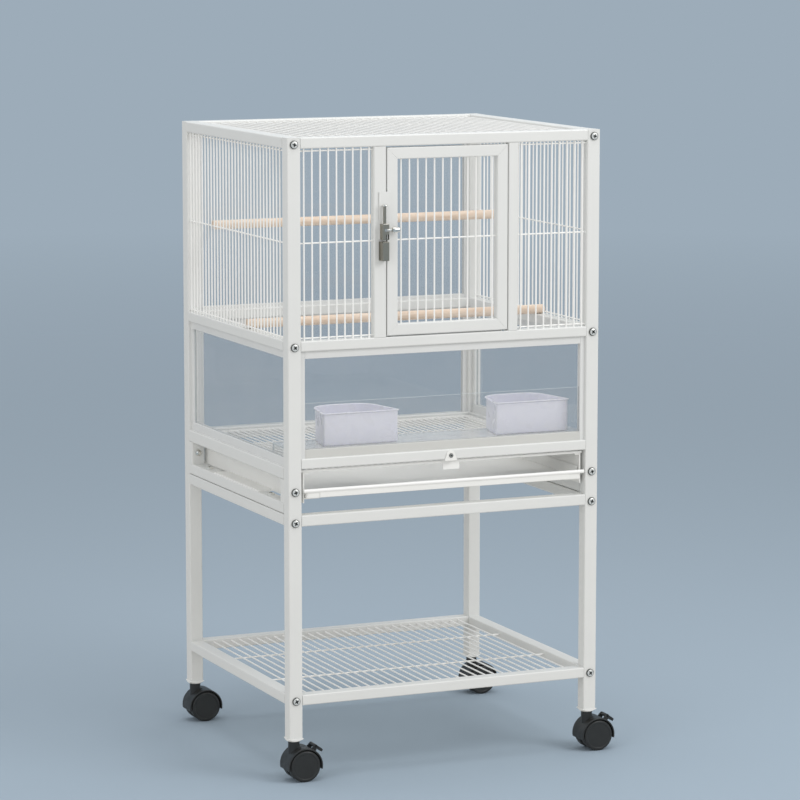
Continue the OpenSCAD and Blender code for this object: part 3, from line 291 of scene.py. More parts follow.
class Workpiece:
    """Faces of one piece in the cage's millimetres, each with its finish."""

    def __init__(self):
        self.mesh = bmesh.new()
        self.finishes = []

    def paint(self, faces, finish):
        if finish not in self.finishes:
            self.finishes.append(finish)
        for face in faces:
            face.material_index = self.finishes.index(finish)

    def skin(self, rings, finish):
        """Faces between rings of equally many points, closed round each ring and over both ends."""
        rows = [[self.mesh.verts.new(point) for point in ring] for ring in rings]
        n = len(rows[0])
        faces = [self.mesh.faces.new((a[i], a[(i + 1) % n], b[(i + 1) % n], b[i]))
                 for a, b in zip(rows, rows[1:]) for i in range(n)]
        faces += [self.mesh.faces.new(rows[0][::-1]), self.mesh.faces.new(rows[-1])]
        self.paint(faces, finish)
        return faces

    def block(self, lo, hi, finish, eased=0.5, steps=2):
        """Squared bar or plate between two corners, with its edges eased by a radius."""
        made = bmesh.ops.create_cube(self.mesh, size=1.0)["verts"]
        lo, hi = Vector(lo), Vector(hi)
        for v in made:
            v.co = Vector([lo[i] + (v.co[i] + 0.5) * (hi[i] - lo[i]) for i in range(3)])
        edges = list(dict.fromkeys(e for v in made for e in v.link_edges))
        bevelled = bmesh.ops.bevel(
            self.mesh, geom=edges, offset=eased, segments=steps, profile=0.5, affect="EDGES")
        faces = list(dict.fromkeys(f for v in bevelled["verts"] for f in v.link_faces))
        self.paint(faces, finish)
        return faces

    def turned(self, profile, finish, place=(0, 0, 0), axis="Z", steps=40):
        """Solid of revolution. The profile is pairs of radius and distance along the axis."""
        rings = []
        for radius, along in profile:
            ring = []
            for i in range(steps):
                a = 2 * pi * i / steps
                u, v = max(radius, THIN_TIP) * cos(a), max(radius, THIN_TIP) * sin(a)
                point = {"Z": (u, v, along), "Y": (v, along, u), "X": (along, u, v)}[axis]
                ring.append(Vector(point) + Vector(place))
            rings.append(ring)
        return self.skin(rings, finish)

    def add_copy(self, mesh, place):
        """Joins a copy of a finished mesh, whose materials are known here, at a matrix in millimetres."""
        before = len(self.mesh.faces)
        part = mesh.copy()
        part.transform(place)
        self.mesh.from_mesh(part)
        self.mesh.faces.ensure_lookup_table()
        for face in self.mesh.faces[before:]:
            self.paint([face], part.materials[face.material_index])
        bpy.data.meshes.remove(part)

    def to_mesh(self, name, scale=1.0, shift=(0, 0, 0)):
        """Finished mesh, shifted and then scaled. The workpiece is used up."""
        bmesh.ops.remove_doubles(self.mesh, verts=self.mesh.verts, dist=WELD)
        self.mesh.transform(Matrix.Scale(scale, 4) @ Matrix.Translation(shift))
        for edge in self.mesh.edges:
            edge.smooth = len(edge.link_faces) == 2 and edge.calc_face_angle(0.0) < CREASE
        for face in self.mesh.faces:
            face.smooth = True
        bmesh.ops.recalc_face_normals(self.mesh, faces=self.mesh.faces)
        made = bpy.data.meshes.new(name)
        self.mesh.to_mesh(made)
        self.mesh.free()
        for finish in self.finishes:
            made.materials.append(finish)
        return made


def fit(work, name, body, slot, *stands_for):
    """Puts a finished workpiece on its body, in place of the CAD nodes that it stands for."""
    made = bpy.data.objects.new(name, work.to_mesh(name, 0.001, CORNER))
    bpy.context.scene.collection.objects.link(made)
    flats = made.modifiers.new("flat faces stay flat", "WEIGHTED_NORMAL")
    flats.keep_sharp = True
    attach(made, body)
    if stands_for:
        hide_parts(*stands_for)


def rounded(w, h, r, steps=4):
    """Outline of a rectangle with round corners, from its low corner at the origin."""
    corners = [(w - r, h - r, 0), (r, h - r, 1), (r, r, 2), (w - r, r, 3)]
    return [(x + r * cos(pi / 2 * (q + i / steps)), y + r * sin(pi / 2 * (q + i / steps)))
            for x, y, q in corners for i in range(steps + 1)]


def carved(solid, cutter, name):
    """Mesh of a workpiece with another cut out of it, in millimetres. The cut has the cutter's finish."""
    pair = []
    for work, part in ((solid, "solid"), (cutter, "cutter")):
        made = bpy.data.objects.new(name + "_" + part, work.to_mesh(name + "_" + part))
        bpy.context.scene.collection.objects.link(made)
        pair.append(made)
    cut = pair[0].modifiers.new("cut", "BOOLEAN")
    cut.object, cut.operation, cut.solver = pair[1], "DIFFERENCE", "EXACT"
    cut.material_mode, cut.use_self = "TRANSFER", True
    depsgraph = bpy.context.evaluated_depsgraph_get()
    result = bpy.data.meshes.new_from_object(pair[0].evaluated_get(depsgraph))
    for made in pair:
        bpy.data.objects.remove(made)
    return result


# Door: four mitred bars of 18 x 15 mm tube, welded and coated in one. A hairline shows each mitre.
def door_frame():
    work = Workpiece()
    x0, x1, z0, z1 = 166.5, 373.5, 697.0, 989.8
    bar, deep, hairline, round_edge = 18.0, 15.0, 0.12, 1.6
    runs = [((x0, z0), (1, 0), (0, 1), x1 - x0), ((x1, z0), (0, 1), (-1, 0), z1 - z0),
            ((x1, z1), (-1, 0), (0, -1), x1 - x0), ((x0, z1), (0, -1), (1, 0), z1 - z0)]
    for (px, pz), (dx, dz), (nx, nz), length in runs:
        rings = []
        for at_end in (0, 1):
            ring = []
            for u, v in rounded(bar, deep, round_edge):
                run = length - u - hairline if at_end else u + hairline
                ring.append((px + dx * run + nx * u, v, pz + dz * run + nz * u))
            rings.append(ring)
        work.skin(rings, coated_tube)
    fit(work, "door_mitred_frame", "door", "white_coated_steel", "door_frame")


SHEET = 3.0  # thickness of every acrylic sheet
# How much of a sheet's margin stays out of its groove here. The groove is drawn shallow, so that
# light reaches it.
SHALLOW = 4.5


# Acrylic sheets: polished faces, sawn and scraped edges with the sharpness taken off
def acrylic_sheet(work, lo, hi, faces=acrylic):
    thin = min(range(3), key=lambda i: hi[i] - lo[i])
    for face in work.block(lo, hi, faces, 0.3, 1):
        face.normal_update()
        work.paint([face], faces if abs(face.normal[thin]) > 0.9 else acrylic_edge)


def windows():
    for name, body in (("left_window", "cage"), ("right_window", "cage"), ("rear_lower_window", "cage"),
                       ("rear_upper_window", "cage"), ("front_half_panel", "half_panel")):
        work = Workpiece()
        lo, hi = node_box(name)
        along = 1 if name in ("left_window", "right_window") else 0
        lo[along], hi[along] = lo[along] + SHALLOW, hi[along] - SHALLOW
        lo.z += 0 if name == "rear_lower_window" else SHALLOW
        hi.z -= 0 if name == "front_half_panel" else SHALLOW
        acrylic_sheet(work, lo, hi)
        fit(work, name + "_sheet", body, "clear_acrylic", name)
    work = Workpiece()
    lo, hi = node_box("feeder_bench")
    acrylic_sheet(work, (lo.x, lo.y, hi.z - SHEET), hi, rubbed_acrylic)
    for x in (lo.x, hi.x - SHEET):
        acrylic_sheet(work, (x, lo.y, lo.z), (x + SHEET, hi.y, hi.z - SHEET))
    fit(work, "feeder_bench_sheets", "cage", "clear_acrylic", "feeder_bench")


# Channels: extruded strips with a groove, butted at the corners
STRIP = 10  # depth of every strip
GROOVE = 6.0 - SHALLOW  # the CAD's groove is 6 mm deep


def channel(work, start, end, into, deep, width, finish):
    """Strip from start to end, whose groove opens towards into. Deep is the direction of its depth."""
    start, end, into, deep = Vector(start), Vector(end), Vector(into), Vector(deep)
    eased, lip = 0.6, 3.3
    front = [(0, 0), (width - eased, 0), (width, eased), (width, lip), (width - GROOVE, lip)]
    section = front + [(a, STRIP - b) for a, b in reversed(front)]
    work.skin([[at + into * a + deep * b for a, b in section] for at in (start, end)], finish)


def channel_frame(work, corner, across, deep, wide, high, side, top, bottom, foot=channel_pvc):
    """Strips round an opening that is wide along across and high along Z, from its low outer corner.
    Side, top and bottom are their widths, and a bottom of 0 leaves that strip out."""
    corner, across, deep, up = Vector(corner), Vector(across), Vector(deep), Vector((0, 0, 1))
    channel(work, corner, corner + up * high, across, deep, side, channel_pvc)
    far = corner + across * wide
    channel(work, far, far + up * high, -across, deep, side, channel_pvc)
    inner = (corner + across * side, far - across * side)
    channel(work, inner[0] + up * high, inner[1] + up * high, -up, deep, top, channel_pvc)
    if bottom:
        channel(work, inner[0], inner[1], up, deep, bottom, foot)


def channels():
    run_x, run_y = WIDE - 2 * POST, DEEP - 2 * POST
    sill, front_sill, below_middle, above_middle, below_top = 497, 511.5, 679, 695, 992
    setback, rear = 5, DEEP - 15
    side, top, foot, slim = 8, 12, 13.5, 6.5  # widths of the strips
    work = Workpiece()
    # the front window's lowest strip takes the darker sill finish: painted shade for its recess
    channel_frame(work, (POST, setback, front_sill), (1, 0, 0), (0, 1, 0),
                  run_x, below_middle - front_sill, side, top, foot, shaded_sill_pvc)
    fit(work, "front_channel_strips", "cage", "white_coated_steel", "front_channel")
    work = Workpiece()
    for x, inwards in ((setback, 1), (WIDE - setback, -1)):
        channel_frame(work, (x, POST, sill), (0, 1, 0), (inwards, 0, 0),
                      run_y, below_middle - sill, side, top, foot)
    fit(work, "side_channel_strips", "cage", "white_coated_steel", "side_channels")
    work = Workpiece()
    channel_frame(work, (POST, rear, sill), (1, 0, 0), (0, 1, 0), run_x, below_middle - sill, side, top, 0)
    channel_frame(work, (POST, rear, above_middle), (1, 0, 0), (0, 1, 0),
                  run_x, below_top - above_middle, slim, slim, slim)
    fit(work, "rear_channel_strips", "cage", "white_coated_steel", "rear_channels")


# Bolts: zinc plated pan heads with a cross recess
def pan_head(across, high, arm, rim=0.9):
    """Head round Z with its seat at 0 and its top at high. Arm is the reach of its cross, and rim
    the width of its outer edge that gets the same painted shade as the socket."""
    head, recess = Workpiece(), Workpiece()
    r = across / 2
    wall = high * 0.35
    dome = [(r * sin(a), wall + high * 0.65 * cos(a)) for a in [pi / 2 * i / 8 for i in range(8, -1, -1)]]
    # the faces at the outer edge of the dome get painted shade, a dark ring round the head
    for face in head.turned([(r - 0.3, 0), (r, 0.3)] + dome, passivated_zinc, steps=36):
        if hypot(*face.calc_center_median().xy) > r - rim:
            head.paint([face], shade_painted_nickel)
    # the cross and its round socket are painted shade
    half_slot, slot_foot = 0.75, high * 0.45
    for x, y in ((half_slot, arm), (arm, half_slot)):
        recess.block((-x, -y, slot_foot), (x, y, high + 1), shade_painted_nickel, 0.2, 1)
    recess.turned([(1.2, high * 0.3), (2.1, high * 0.6), (2.1, high + 1.2)], shade_painted_nickel, steps=16)
    return carved(head, recess, "pan_head")


def aimed(place, direction, spin):
    """Matrix that stands a Z form at a place, along a direction, spun round it by an angle."""
    turn = Vector(direction).to_track_quat("Z", "Y").to_matrix().to_4x4()
    return Matrix.Translation(place) @ turn @ Matrix.Rotation(spin, 4, "Z")


# Levels of the bolts in the posts
SHELF, STAND_TOP, BASE_FRAME, MIDDLE_RAILS, TOP_RAILS = 129.0, 411.2, 459.9, 686.0, 998.5
BOLT_R = 2.5
HEAD = (13.0, 3.6, 3.6)
# Dome of the cap nut behind a base frame: pairs of radius and distance from the post's outer face
CAP_NUT = [(5.4, 36.0), (5.5, 36.4), (5.3, 37.6), (4.7, 39.0), (3.6, 40.2), (2.0, 40.8), (0, 41.0)]


def fasteners():
    """Bolts through the posts at each rail, and bolts that hold the base frames on the stand. Their
    crosses are turned by different angles."""
    head, pale_head = pan_head(*HEAD), pan_head(*HEAD, rim=0)
    work = Workpiece()
    seat, foot = 441.0, 410.5  # of the upright bolts
    for i, x in enumerate((CENTRE, WIDE - CENTRE)):
        for k, (y, out) in enumerate(((0.0, -1), (DEEP, 1))):
            for j, z in enumerate((SHELF, STAND_TOP, BASE_FRAME, MIDDLE_RAILS, TOP_RAILS)):
                work.add_copy(head, aimed((x, y, z), (0, out, 0), 0.5 + 1.7 * i + 0.9 * k + 0.6 * j))
                past_post = 16.5 if z == BASE_FRAME else 8
                ends = (y, y - out * (POST + past_post))
                work.turned([(BOLT_R, min(ends)), (BOLT_R, max(ends))], bright_nickel, (x, 0, z), "Y", 16)
                if z == BASE_FRAME:
                    work.turned([(a, y - out * b) for a, b in CAP_NUT], bright_nickel, (x, 0, z), "Y", 28)
        for k, y in enumerate((104.0, DEEP - 89)):
            work.add_copy(pale_head, aimed((x, y, seat), (0, 0, 1), 0.4 + i + 0.8 * k))
            work.turned([(BOLT_R, foot), (BOLT_R, seat)], bright_nickel, (x, y, 0), "Z", 16)
    fit(work, "corner_bolts", "cage", "bright_nickel", "bolts")
    bpy.data.meshes.remove(head)
    bpy.data.meshes.remove(pale_head)


# Turn button over the grate: a stamped plate, coated white, on a small screw
def turn_button():
    work = Workpiece()
    x, z, r = 275.0, 502.0, 7.6
    outline = [(r * cos(a), r * sin(a)) for a in [pi * i / 20 for i in range(21)]]
    outline += [(-10.6, -7.9), (-10.0, -8.4), (10.0, -8.4), (10.6, -7.9)]
    rings = []
    for y, share in ((-0.3, 0.97), (-0.6, 1.0), (-1.9, 1.0), (-2.3, 0.96)):
        rings.append([(x + a * share, y, z - 1 + (b + 1) * share) for a, b in outline])
    work.skin(rings, coated_sheet)
    fit(work, "turn_button", "keeper", "white_coated_steel", "grate_keeper")
    work = Workpiece()
    head, seat, screw_r = pan_head(7.0, 1.5, 2.0), -2.6, 1.9
    work.add_copy(head, aimed((x, seat, z), (0, -1, 0), 0.5))
    work.turned([(screw_r, seat), (screw_r, 4.6)], bright_nickel, (x, 0, z), "Y", 16)
    fit(work, "turn_button_screw", "cage", "bright_nickel")
    bpy.data.meshes.remove(head)


# Latch: a cast housing on the door, its rod, the lever on the rod, and the keeper block on the mullion
ROD_X, ROD_Y, LEVER_Z = 158.5, -8.3, 863.0  # the rod stands upright here, and the lever sits at this level
ROD = (ROD_X, ROD_Y, 0)
CAST_LEFT, CAST_FRONT, CAST_RIGHT = 153.0, -14.3, 164.0
PLATE_LEFT, PLATE_FRONT = 152.0, -2.3
BORE_R, LEVER_ROOM_R, SLOT = 2.7, 4.5, 2.2  # a slot is twice this wide


def latch_housing():
    low, high, past = 848.0, 873.0, 12  # past is a reach that runs out of the casting
    body, room = Workpiece(), Workpiece()
    casting = body.block((CAST_LEFT, CAST_FRONT, low), (CAST_RIGHT, PLATE_FRONT, high), cast_zinc, 1.0, 3)
    # the top face is painted bright nickel: a painted highlight along the housing's top edge
    for face in casting:
        if face.calc_center_median().z > high - 0.7:
            body.paint([face], bright_nickel)
    slot_top = LEVER_Z + SLOT
    # the room cut for the rod and the lever is lined with painted shade
    room.turned([(LEVER_ROOM_R, low - 2), (LEVER_ROOM_R, 866)], shade_painted_nickel, ROD, "Z", 32)
    room.turned([(BORE_R, 865), (BORE_R, high + 2)], shade_painted_nickel, ROD, "Z", 32)
    # the lever's upright slot at the right, its level slot round the front, and the notch low in the front
    for lo, hi in (((ROD_X, ROD_Y - SLOT, low - 2), (ROD_X + past, ROD_Y + SLOT, slot_top)),
                   ((ROD_X - SLOT, ROD_Y - past, LEVER_Z - SLOT), (ROD_X + past, ROD_Y, slot_top)),
                   ((ROD_X - 0.1, ROD_Y - past, 849.4), (ROD_X + 4.4, ROD_Y, 856.6))):
        room.block(lo, hi, shade_painted_nickel, 0.3, 1)
    shell = carved(body, room, "latch_housing")
    work = Workpiece()
    work.add_copy(shell, Matrix.Identity(4))
    # the plate that carries the casting, and its foot on the door's edge
    work.block((PLATE_LEFT, PLATE_FRONT, low), (170.8, -0.3, 922.0), coated_tube, 0.5, 2)
    work.block((166.8, -0.4, low + 0.5), (170.8, 0.0, 921.5), coated_tube, 0.1, 1)
    fit(work, "latch_housing_casting", "door", "grey_zinc", "latch_housing")
    bpy.data.meshes.remove(shell)


def latch_rod():
    work = Workpiece()
    shaft = [(1.9, 849), (2.5, 849.8), (2.5, 900)]
    cap = [(3.9, 900), (4.5, 900.5), (4.5, 901.6), (3.9, 902.4), (0, 902.6)]
    collar = [(3.2, 859.0), (3.5, 859.2), (3.5, 860.0), (3.2, 860.2)]
    work.turned(shaft, cast_zinc, ROD, "Z", 32)
    work.turned(cap, bright_nickel, ROD, "Z", 32)
    work.turned(collar, bright_nickel, ROD, "Z", 32)
    fit(work, "latch_rod_turned", "latch_bolt", "bright_nickel", "latch_rod")


def latch_lever():
    work = Workpiece()
    hub = [(2.58, -2.5), (3.7, -2.5), (4.1, -2.1), (4.1, 2.1), (3.7, 2.5), (2.58, 2.5), (2.58, -2.5)]
    bullet = [(1.5, 3.4), (1.5, 11.0), (2.0, 12.0), (3.6, 12.8), (4.2, 14.2), (4.3, 17.0), (4.3, 22.4),
              (4.0, 24.4), (3.1, 26.0), (1.6, 26.8), (0, 27.0)]
    work.turned(hub, bright_nickel, (ROD_X, ROD_Y, LEVER_Z), "Z", 32)
    work.turned(bullet, bright_nickel, (ROD_X, ROD_Y, LEVER_Z), "X", 32)
    fit(work, "latch_lever_turned", "latch_handle", "bright_nickel", "latch_lever")


def latch_keeper():
    low, high = 815.5, 845.0
    body, room = Workpiece(), Workpiece()
    body.block((CAST_LEFT, CAST_FRONT, low), (CAST_RIGHT, -2.2, high), cast_zinc, 0.7, 3)
    # the rod's bore is lined with painted shade
    room.turned([(BORE_R, 831), (BORE_R, high + 2)], shade_painted_nickel, ROD, "Z", 32)
    shell = carved(body, room, "keeper_block")
    work = Workpiece()
    work.add_copy(shell, Matrix.Identity(4))
    work.block((PLATE_LEFT, PLATE_FRONT, low), (165.0, 0.0, high), cast_zinc, 0.5, 2)
    fit(work, "latch_keeper_block", "cage", "grey_zinc", "latch_keeper")
    bpy.data.meshes.remove(shell)


# Feeders: moulded cups with a straight front, round back corners, a rolled rim and a soft foot
CUP_HALF, CUP_DEEP, BACK_R, FRONT_R = 63.5, 90.0, 34.0, 3.0
BACK_CENTRE = Vector((18.0, CUP_DEEP - BACK_R))
CUP_FRONT, CUP_SEAT = 31, 523.8
# Section through a cup's wall, from its foot up the outside, over the rim and down the inside: pairs
# of inset and height
CUP_WALL = [(3.0, 0.0), (1.0, 0.35), (0.2, 1.6), (0.0, 4.0), (0.0, 48.6), (-0.4, 49.8), (-1.8, 50.3),
            (-2.4, 50.8), (-2.5, 51.3), (-2.1, 51.8), (-1.2, 52.0), (0.8, 52.0), (1.6, 51.6), (2.0, 50.8),
            (2.1, 7.0), (3.0, 4.4), (5.0, 2.9), (8.0, 2.2), (24.0, 2.0)]


def feeder_outline(inset):
    """Outline, anticlockwise from the front right corner, with as many points for every inset. The
    sides run straight from the front corners and meet the round back corners without a bend."""
    half, back_r, front_r = CUP_HALF - inset, BACK_R - inset, max(0.4, FRONT_R - inset)
    out = Vector((half, inset + front_r)) - BACK_CENTRE
    turn = atan2(out.y, out.x) + acos(min(1.0, back_r / out.length))
    points = []
    for i in range(5):
        a = -pi / 2 + pi / 2 * i / 4
        points.append((half - front_r + front_r * cos(a), inset + front_r + front_r * sin(a)))
    for i in range(15):
        a = turn + (pi / 2 - turn) * i / 14
        points.append((BACK_CENTRE.x + back_r * cos(a), BACK_CENTRE.y + back_r * sin(a)))
    return points + [(-x, y) for x, y in reversed(points)]


def feeder(side, x):
    work = Workpiece()
    work.skin([[(x + a, CUP_FRONT + b, CUP_SEAT + z) for a, b in feeder_outline(inset)]
               for inset, z in CUP_WALL], milky)
    fit(work, side + "_feeder_cup", "feeder_" + side, "milky_plastic", side + "_feeder")


# Casters: a twin wheel hood with a neck, two wheels on one axle, and a brake pedal on the front pair
TRAIL, AXLE_Z = 13, 25  # the axle lies this far from the swivel along X, and this far above the floor
WHEEL_R = 25.0
HOOD_IN, HOOD_THICK, HOOD_WIDE = 26.4, 2.6, 39.2
NECK_R = 9
PEDAL_PIN = (20, 29)  # sideways and up from the axle
LUG_IN, LUG_OUT = 8.4, 10.9  # the lugs that hold the pedal's pin lie between these, on both sides


def hood_neck(work, at):
    """Upright neck, which runs into the top of the hood with a fillet on its trailing side."""
    in_hood, deepest, upright, hood_r = 52.0, 53.4, 58, 27.6
    rings = []
    for trailing, z in ((NECK_R, 64.0), (NECK_R, 58.6), (9.5, 57.0), (10.6, 55.6), (12.6, 54.3),
                        (16.0, in_hood)):
        ring = []
        for k in range(32):
            a = 2 * pi * k / 32
            u = (trailing if cos(a) > 0 else NECK_R) * cos(a)
            on_hood = AXLE_Z + sqrt(hood_r ** 2 - (u - TRAIL) ** 2)
            if z == in_hood:
                level = min(on_hood, deepest)
            else:
                level = z if z > upright else max(z, on_hood)
            ring.append(at + Vector((u, NECK_R * sin(a), level)))
        rings.append(ring)
    work.skin(rings, black_nylon)


def caster_hood(name, x, y, braked):
    work = Workpiece()
    at = Vector((x, y, 0))
    axle = at + Vector((TRAIL, 0, AXLE_Z))
    # shell round the top of the wheels, web between them with a boss for the axle
    start, sweep, steps = -11.5, 203.0, 40
    rings = []
    for i in range(steps + 1):
        a = radians(start + sweep * i / steps)
        rings.append([axle + Vector(((HOOD_IN + u) * cos(a), v - HOOD_WIDE / 2, (HOOD_IN + u) * sin(a)))
                      for u, v in rounded(HOOD_THICK, HOOD_WIDE, 1.1, 3)])
    work.skin(rings, black_nylon)
    web_r, web = 27.2, 3
    arc = [(web_r * cos(radians(a)), web_r * sin(radians(a))) for a in range(-12, 193, 6)]
    work.skin([[axle + Vector((u, v, w)) for u, w in arc] for v in (-web, web)], black_nylon)
    work.turned([(3.1, -web), (8, -web), (8, web), (3.1, web), (3.1, -web)], black_nylon, axle, "Y", 24)
    hood_neck(work, at)
    stem = [(4.0, 63.5), (4.0, 80.0), (3.2, 81.0)]
    work.turned(stem, cast_zinc, at, "Z", 20)
    if braked:
        pin, lug_r, foot_r, foot_half = Vector(PEDAL_PIN), 3, 27.4, 4.2
        up = pin.normalized()
        across = Vector((-up.y, up.x))
        outline = [pin + across * lug_r * cos(a) + up * lug_r * sin(a)
                   for a in [pi * k / 10 for k in range(11)]]
        outline += [up * foot_r - across * foot_half, up * foot_r + across * foot_half]
        for ends in ((-LUG_OUT, -LUG_IN), (LUG_IN, LUG_OUT)):
            work.skin([[axle + Vector((q.x, v, q.y)) for q in outline] for v in ends], black_nylon)
    fit(work, name + "_caster_hood", "caster_" + name, "black_nylon", name + "_caster")


# Half section of a wheel, from the middle of its outer face to that of its inner face: pairs of
# radius and distance from the web
WHEEL = [(0, 14.7), (19.4, 14.7), (20.2, 15.0), (20.6, 15.5), (21.2, 15.6), (22.4, 15.55), (23.6, 15.2),
         (24.5, 14.5), (WHEEL_R, 13.4), (WHEEL_R, 2.2), (24.5, 1.1), (23.6, 0.4), (22.4, 0.05),
         (21.2, 0.0), (9.0, 0.0), (8.6, 0.6), (0, 0.6)]


def caster_wheels(name, x, y):
    work = Workpiece()
    axle = Vector((x + TRAIL, y, AXLE_Z))
    work.turned([(3.0, -5), (3.0, 5)], cast_zinc, axle, "Y", 20)
    beside_web = 4
    for side in (-1, 1):
        profile = [(r, side * (beside_web + w)) for r, w in WHEEL]
        for face in work.turned(profile, black_nylon, axle, "Y", 56):
            centre = face.calc_center_median() - axle
            if hypot(centre.x, centre.z) > WHEEL_R - 0.4:
                work.paint([face], tread_nylon)
    fit(work, name + "_twin_wheels", "wheels_" + name, "black_nylon", name + "_wheels")


def brake_pedal(name, x, y):
    """Plate that rises from a round root on its pin, with three ribs for the foot."""
    work = Workpiece()
    pin = Vector((x + TRAIL + PEDAL_PIN[0], y, AXLE_Z + PEDAL_PIN[1]))
    tilt = radians(35)

    def tilted(a, v, b):
        """Point of the pedal from its distance along the plate, across it and above its middle."""
        return pin + Vector((a * cos(tilt) + b * sin(tilt), v, b * cos(tilt) - a * sin(tilt)))

    outline = [(3 * cos(a), 3 * sin(a)) for a in [radians(50 + 260 * k / 16) for k in range(17)]]
    edge = [(3.0, 2.25), (13.9, 2.25), (14.7, 1.9), (15.0, 1.2)]
    outline += [(a, -b) for a, b in edge] + edge[::-1]
    middle = 6  # the ends of the plate shrink towards this point along it
    work.skin([[tilted(middle + (a - middle) * share, v, b * share) for a, b in outline]
               for v, share in ((-8.0, 0.93), (-7.6, 1.0), (7.6, 1.0), (8.0, 0.93))], black_nylon)
    work.turned([(1.5, -LUG_OUT), (1.5, LUG_OUT)], cast_zinc, pin, "Y", 16)
    for k in range(3):
        along = 6.0 + 2.8 * k
        rib = ((along, 2.2), (along + 1.2, 2.2), (along + 0.9, 2.75), (along + 0.3, 2.75))
        work.skin([[tilted(a, v, b) for a, b in rib] for v in (-6.6, 6.6)], tread_nylon)
    fit(work, name + "_brake_pedal", "brake_" + name, "black_nylon", name + "_brake")


# Tray: folded sheet, a rolled bar along its lip, and a flange under the bar that stops short of the ends
def litter_tray():
    work = Workpiece()
    left, right, back, low, wall, roll = 30.0, 505.0, 438.0, 449.3, 468.3, 461.0
    # pan, folded up all round to the level of the lip
    rings = []
    for inset, z in ((0.6, low), (0.0, low + 0.6), (0.0, roll),
                     (1.0, roll), (1.0, low + 1.6), (1.8, low + 1.0)):
        outline = rounded(right - left - 2 * inset, back - 2 * inset, max(0.3, 4.0 - inset), 5)
        rings.append([(left + inset + a, inset + b, z) for a, b in outline])
    work.skin(rings, coated_sheet)
    # the side and back walls rise above it
    for lo, hi in (((left, 12.0), (left + 1, back - 3)), ((right - 1, 12.0), (right, back - 3)),
                   ((left + 4, back - 1), (right - 4, back))):
        work.block((*lo, roll - 0.2), (*hi, wall), coated_sheet, 0.3, 1)
    # flange and rolled bar
    work.block((52.0, -1.0, 450.0), (483.0, 0.6, roll), coated_sheet, 0.3, 1)
    # the rolled bar takes the whiter wire finish: a painted highlight for the light on its upper side
    bar = [(2.5, 25.0), (3.0, 25.5), (3.0, 509.5), (2.5, 510.0)]
    work.turned(bar, coated_wire, (0, 0, roll), "X", 24)
    fit(work, "litter_tray_sheet", "tray", "white_coated_steel", "tray")


door_frame()
windows()
channels()
fasteners()
turn_button()
latch_housing()
latch_rod()
latch_lever()
latch_keeper()
for side, x in (("left", 135.0), ("right", 433.0)):
    feeder(side, x)
for place, x, y in (("front_left", CENTRE, CENTRE), ("front_right", WIDE - CENTRE, CENTRE),
                    ("rear_left", CENTRE, DEEP - CENTRE), ("rear_right", WIDE - CENTRE, DEEP - CENTRE)):
    braked = place.startswith("front")
    caster_hood(place, x, y, braked)
    caster_wheels(place, x, y)
    if braked:
        brake_pedal(place, x, y)
litter_tray()


# ---- Camera, floor and light

# The camera was solved from the cage's straight edges in the photo
camera = bpy.data.objects.new("camera", bpy.data.cameras.new("camera"))
camera.data.lens, camera.data.sensor_width = 154.53, 36.0
camera.location = (-2.2244, -5.1031, 1.3546)
camera.rotation_euler = (radians(90 - 8.134), 0.0, radians(-23.646))
bpy.context.scene.collection.objects.link(camera)
bpy.context.scene.camera = camera

BACKDROP = "#9DACB9"
STUDIO_LIGHT = 0.72  # strength of the even light from all round
FADE = (1.2, 9.0)  # metres from the middle at which the floor starts to fade, and is gone
FLOOR_HALF = 12


def seen_by_eye(tree):
    """1 for rays that show the backdrop itself: straight, in a reflection or through glass."""
    rays = add(tree, "LightPath").outputs
    shown = rays["Is Camera Ray"]
    for other in ("Is Glossy Ray", "Is Transmission Ray"):
        shown = add(tree, "Math", {0: shown, 1: rays[other]}, operation="MAXIMUM").outputs[0]
    return shown


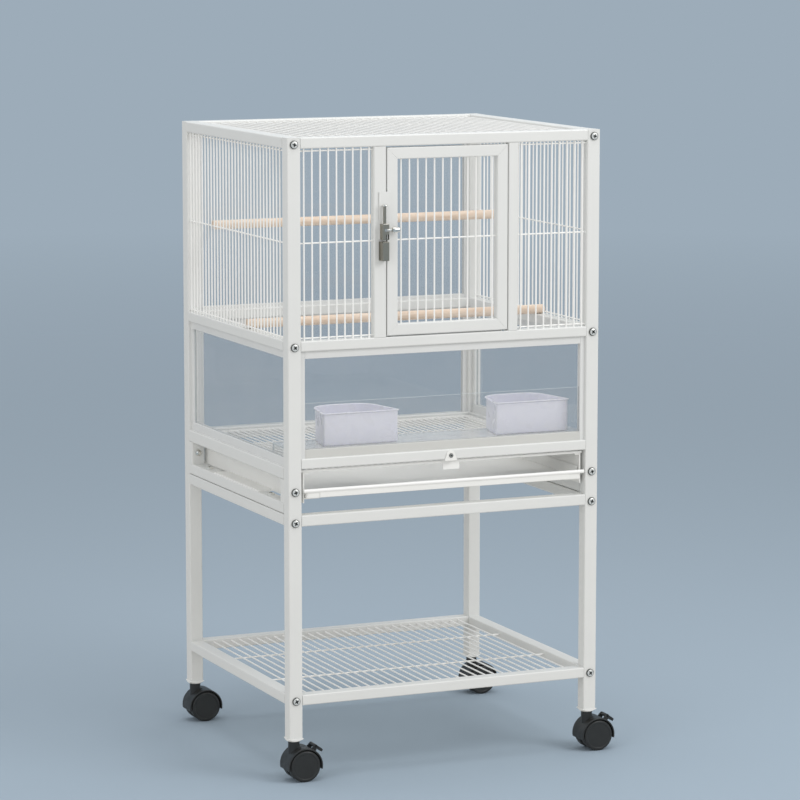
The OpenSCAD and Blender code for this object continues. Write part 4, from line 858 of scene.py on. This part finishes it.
world = bpy.data.worlds.new("studio")
bpy.context.scene.world = world
world.use_nodes = True
sky = world.node_tree
sky.nodes.clear()
soft = add(sky, "Background", {"Color": linear("#FFFFFF"), "Strength": STUDIO_LIGHT})
backdrop = add(sky, "Background", {"Color": linear(BACKDROP), "Strength": 1.0})
both = add(sky, "MixShader", {0: seen_by_eye(sky), 1: soft.outputs[0], 2: backdrop.outputs[0]})
add(sky, "OutputWorld", {"Surface": both.outputs[0]})


def floor_finish():
    """Matt floor that keeps the shadow and fades into the backdrop."""
    finish, tree = new_finish("studio_floor")
    where = add(tree, "TexCoord").outputs["Object"]
    far = add(tree, "VectorMath", {0: where}, operation="LENGTH").outputs["Value"]
    # pale for the light that it sends back, and the backdrop's colour to the eye
    matt = add(tree, "BsdfDiffuse", {"Color": blend_of(tree, seen_by_eye(tree), "#CCCBC8", BACKDROP)})
    gone = add(tree, "BsdfTransparent", {"Color": linear("#FFFFFF")})
    faded = spread_of(tree, far, *FADE, 0.0, 1.0)
    mix = add(tree, "MixShader", {0: faded, 1: matt.outputs[0], 2: gone.outputs[0]})
    add(tree, "OutputMaterial", {"Surface": mix.outputs[0]})
    return finish


floor_mesh = bpy.data.meshes.new("floor")
floor_corners = [(x * FLOOR_HALF, y * FLOOR_HALF, 0) for x, y in ((-1, -1), (1, -1), (1, 1), (-1, 1))]
floor_mesh.from_pydata(floor_corners, [], [(0, 1, 2, 3)])
floor = bpy.data.objects.new("floor", floor_mesh)
floor.data.materials.append(floor_finish())
bpy.context.scene.collection.objects.link(floor)


def lamp(name, place, aim, size, watts):
    """Round soft lamp at a place, turned to what it lights."""
    data = bpy.data.lights.new(name, "AREA")
    data.shape, data.size, data.energy = "DISK", size, watts
    made = bpy.data.objects.new(name, data)
    made.location = place
    made.rotation_euler = (Vector(aim) - Vector(place)).to_track_quat("-Z", "Y").to_euler()
    bpy.context.scene.collection.objects.link(made)


# The photo's light comes from the front right and from above, and its left faces stay a little darker
lamp("key", (1.9, -2.6, 2.6), (0, 0, 0.55), 1.8, 43)
lamp("top", (0.1, -0.1, 3.1), (0, 0, 0.5), 2.4, 26)
lamp("fill", (-2.6, -1.6, 1.6), (0, 0, 0.5), 2.0, 13)

bpy.context.scene.view_settings.view_transform = "Standard"
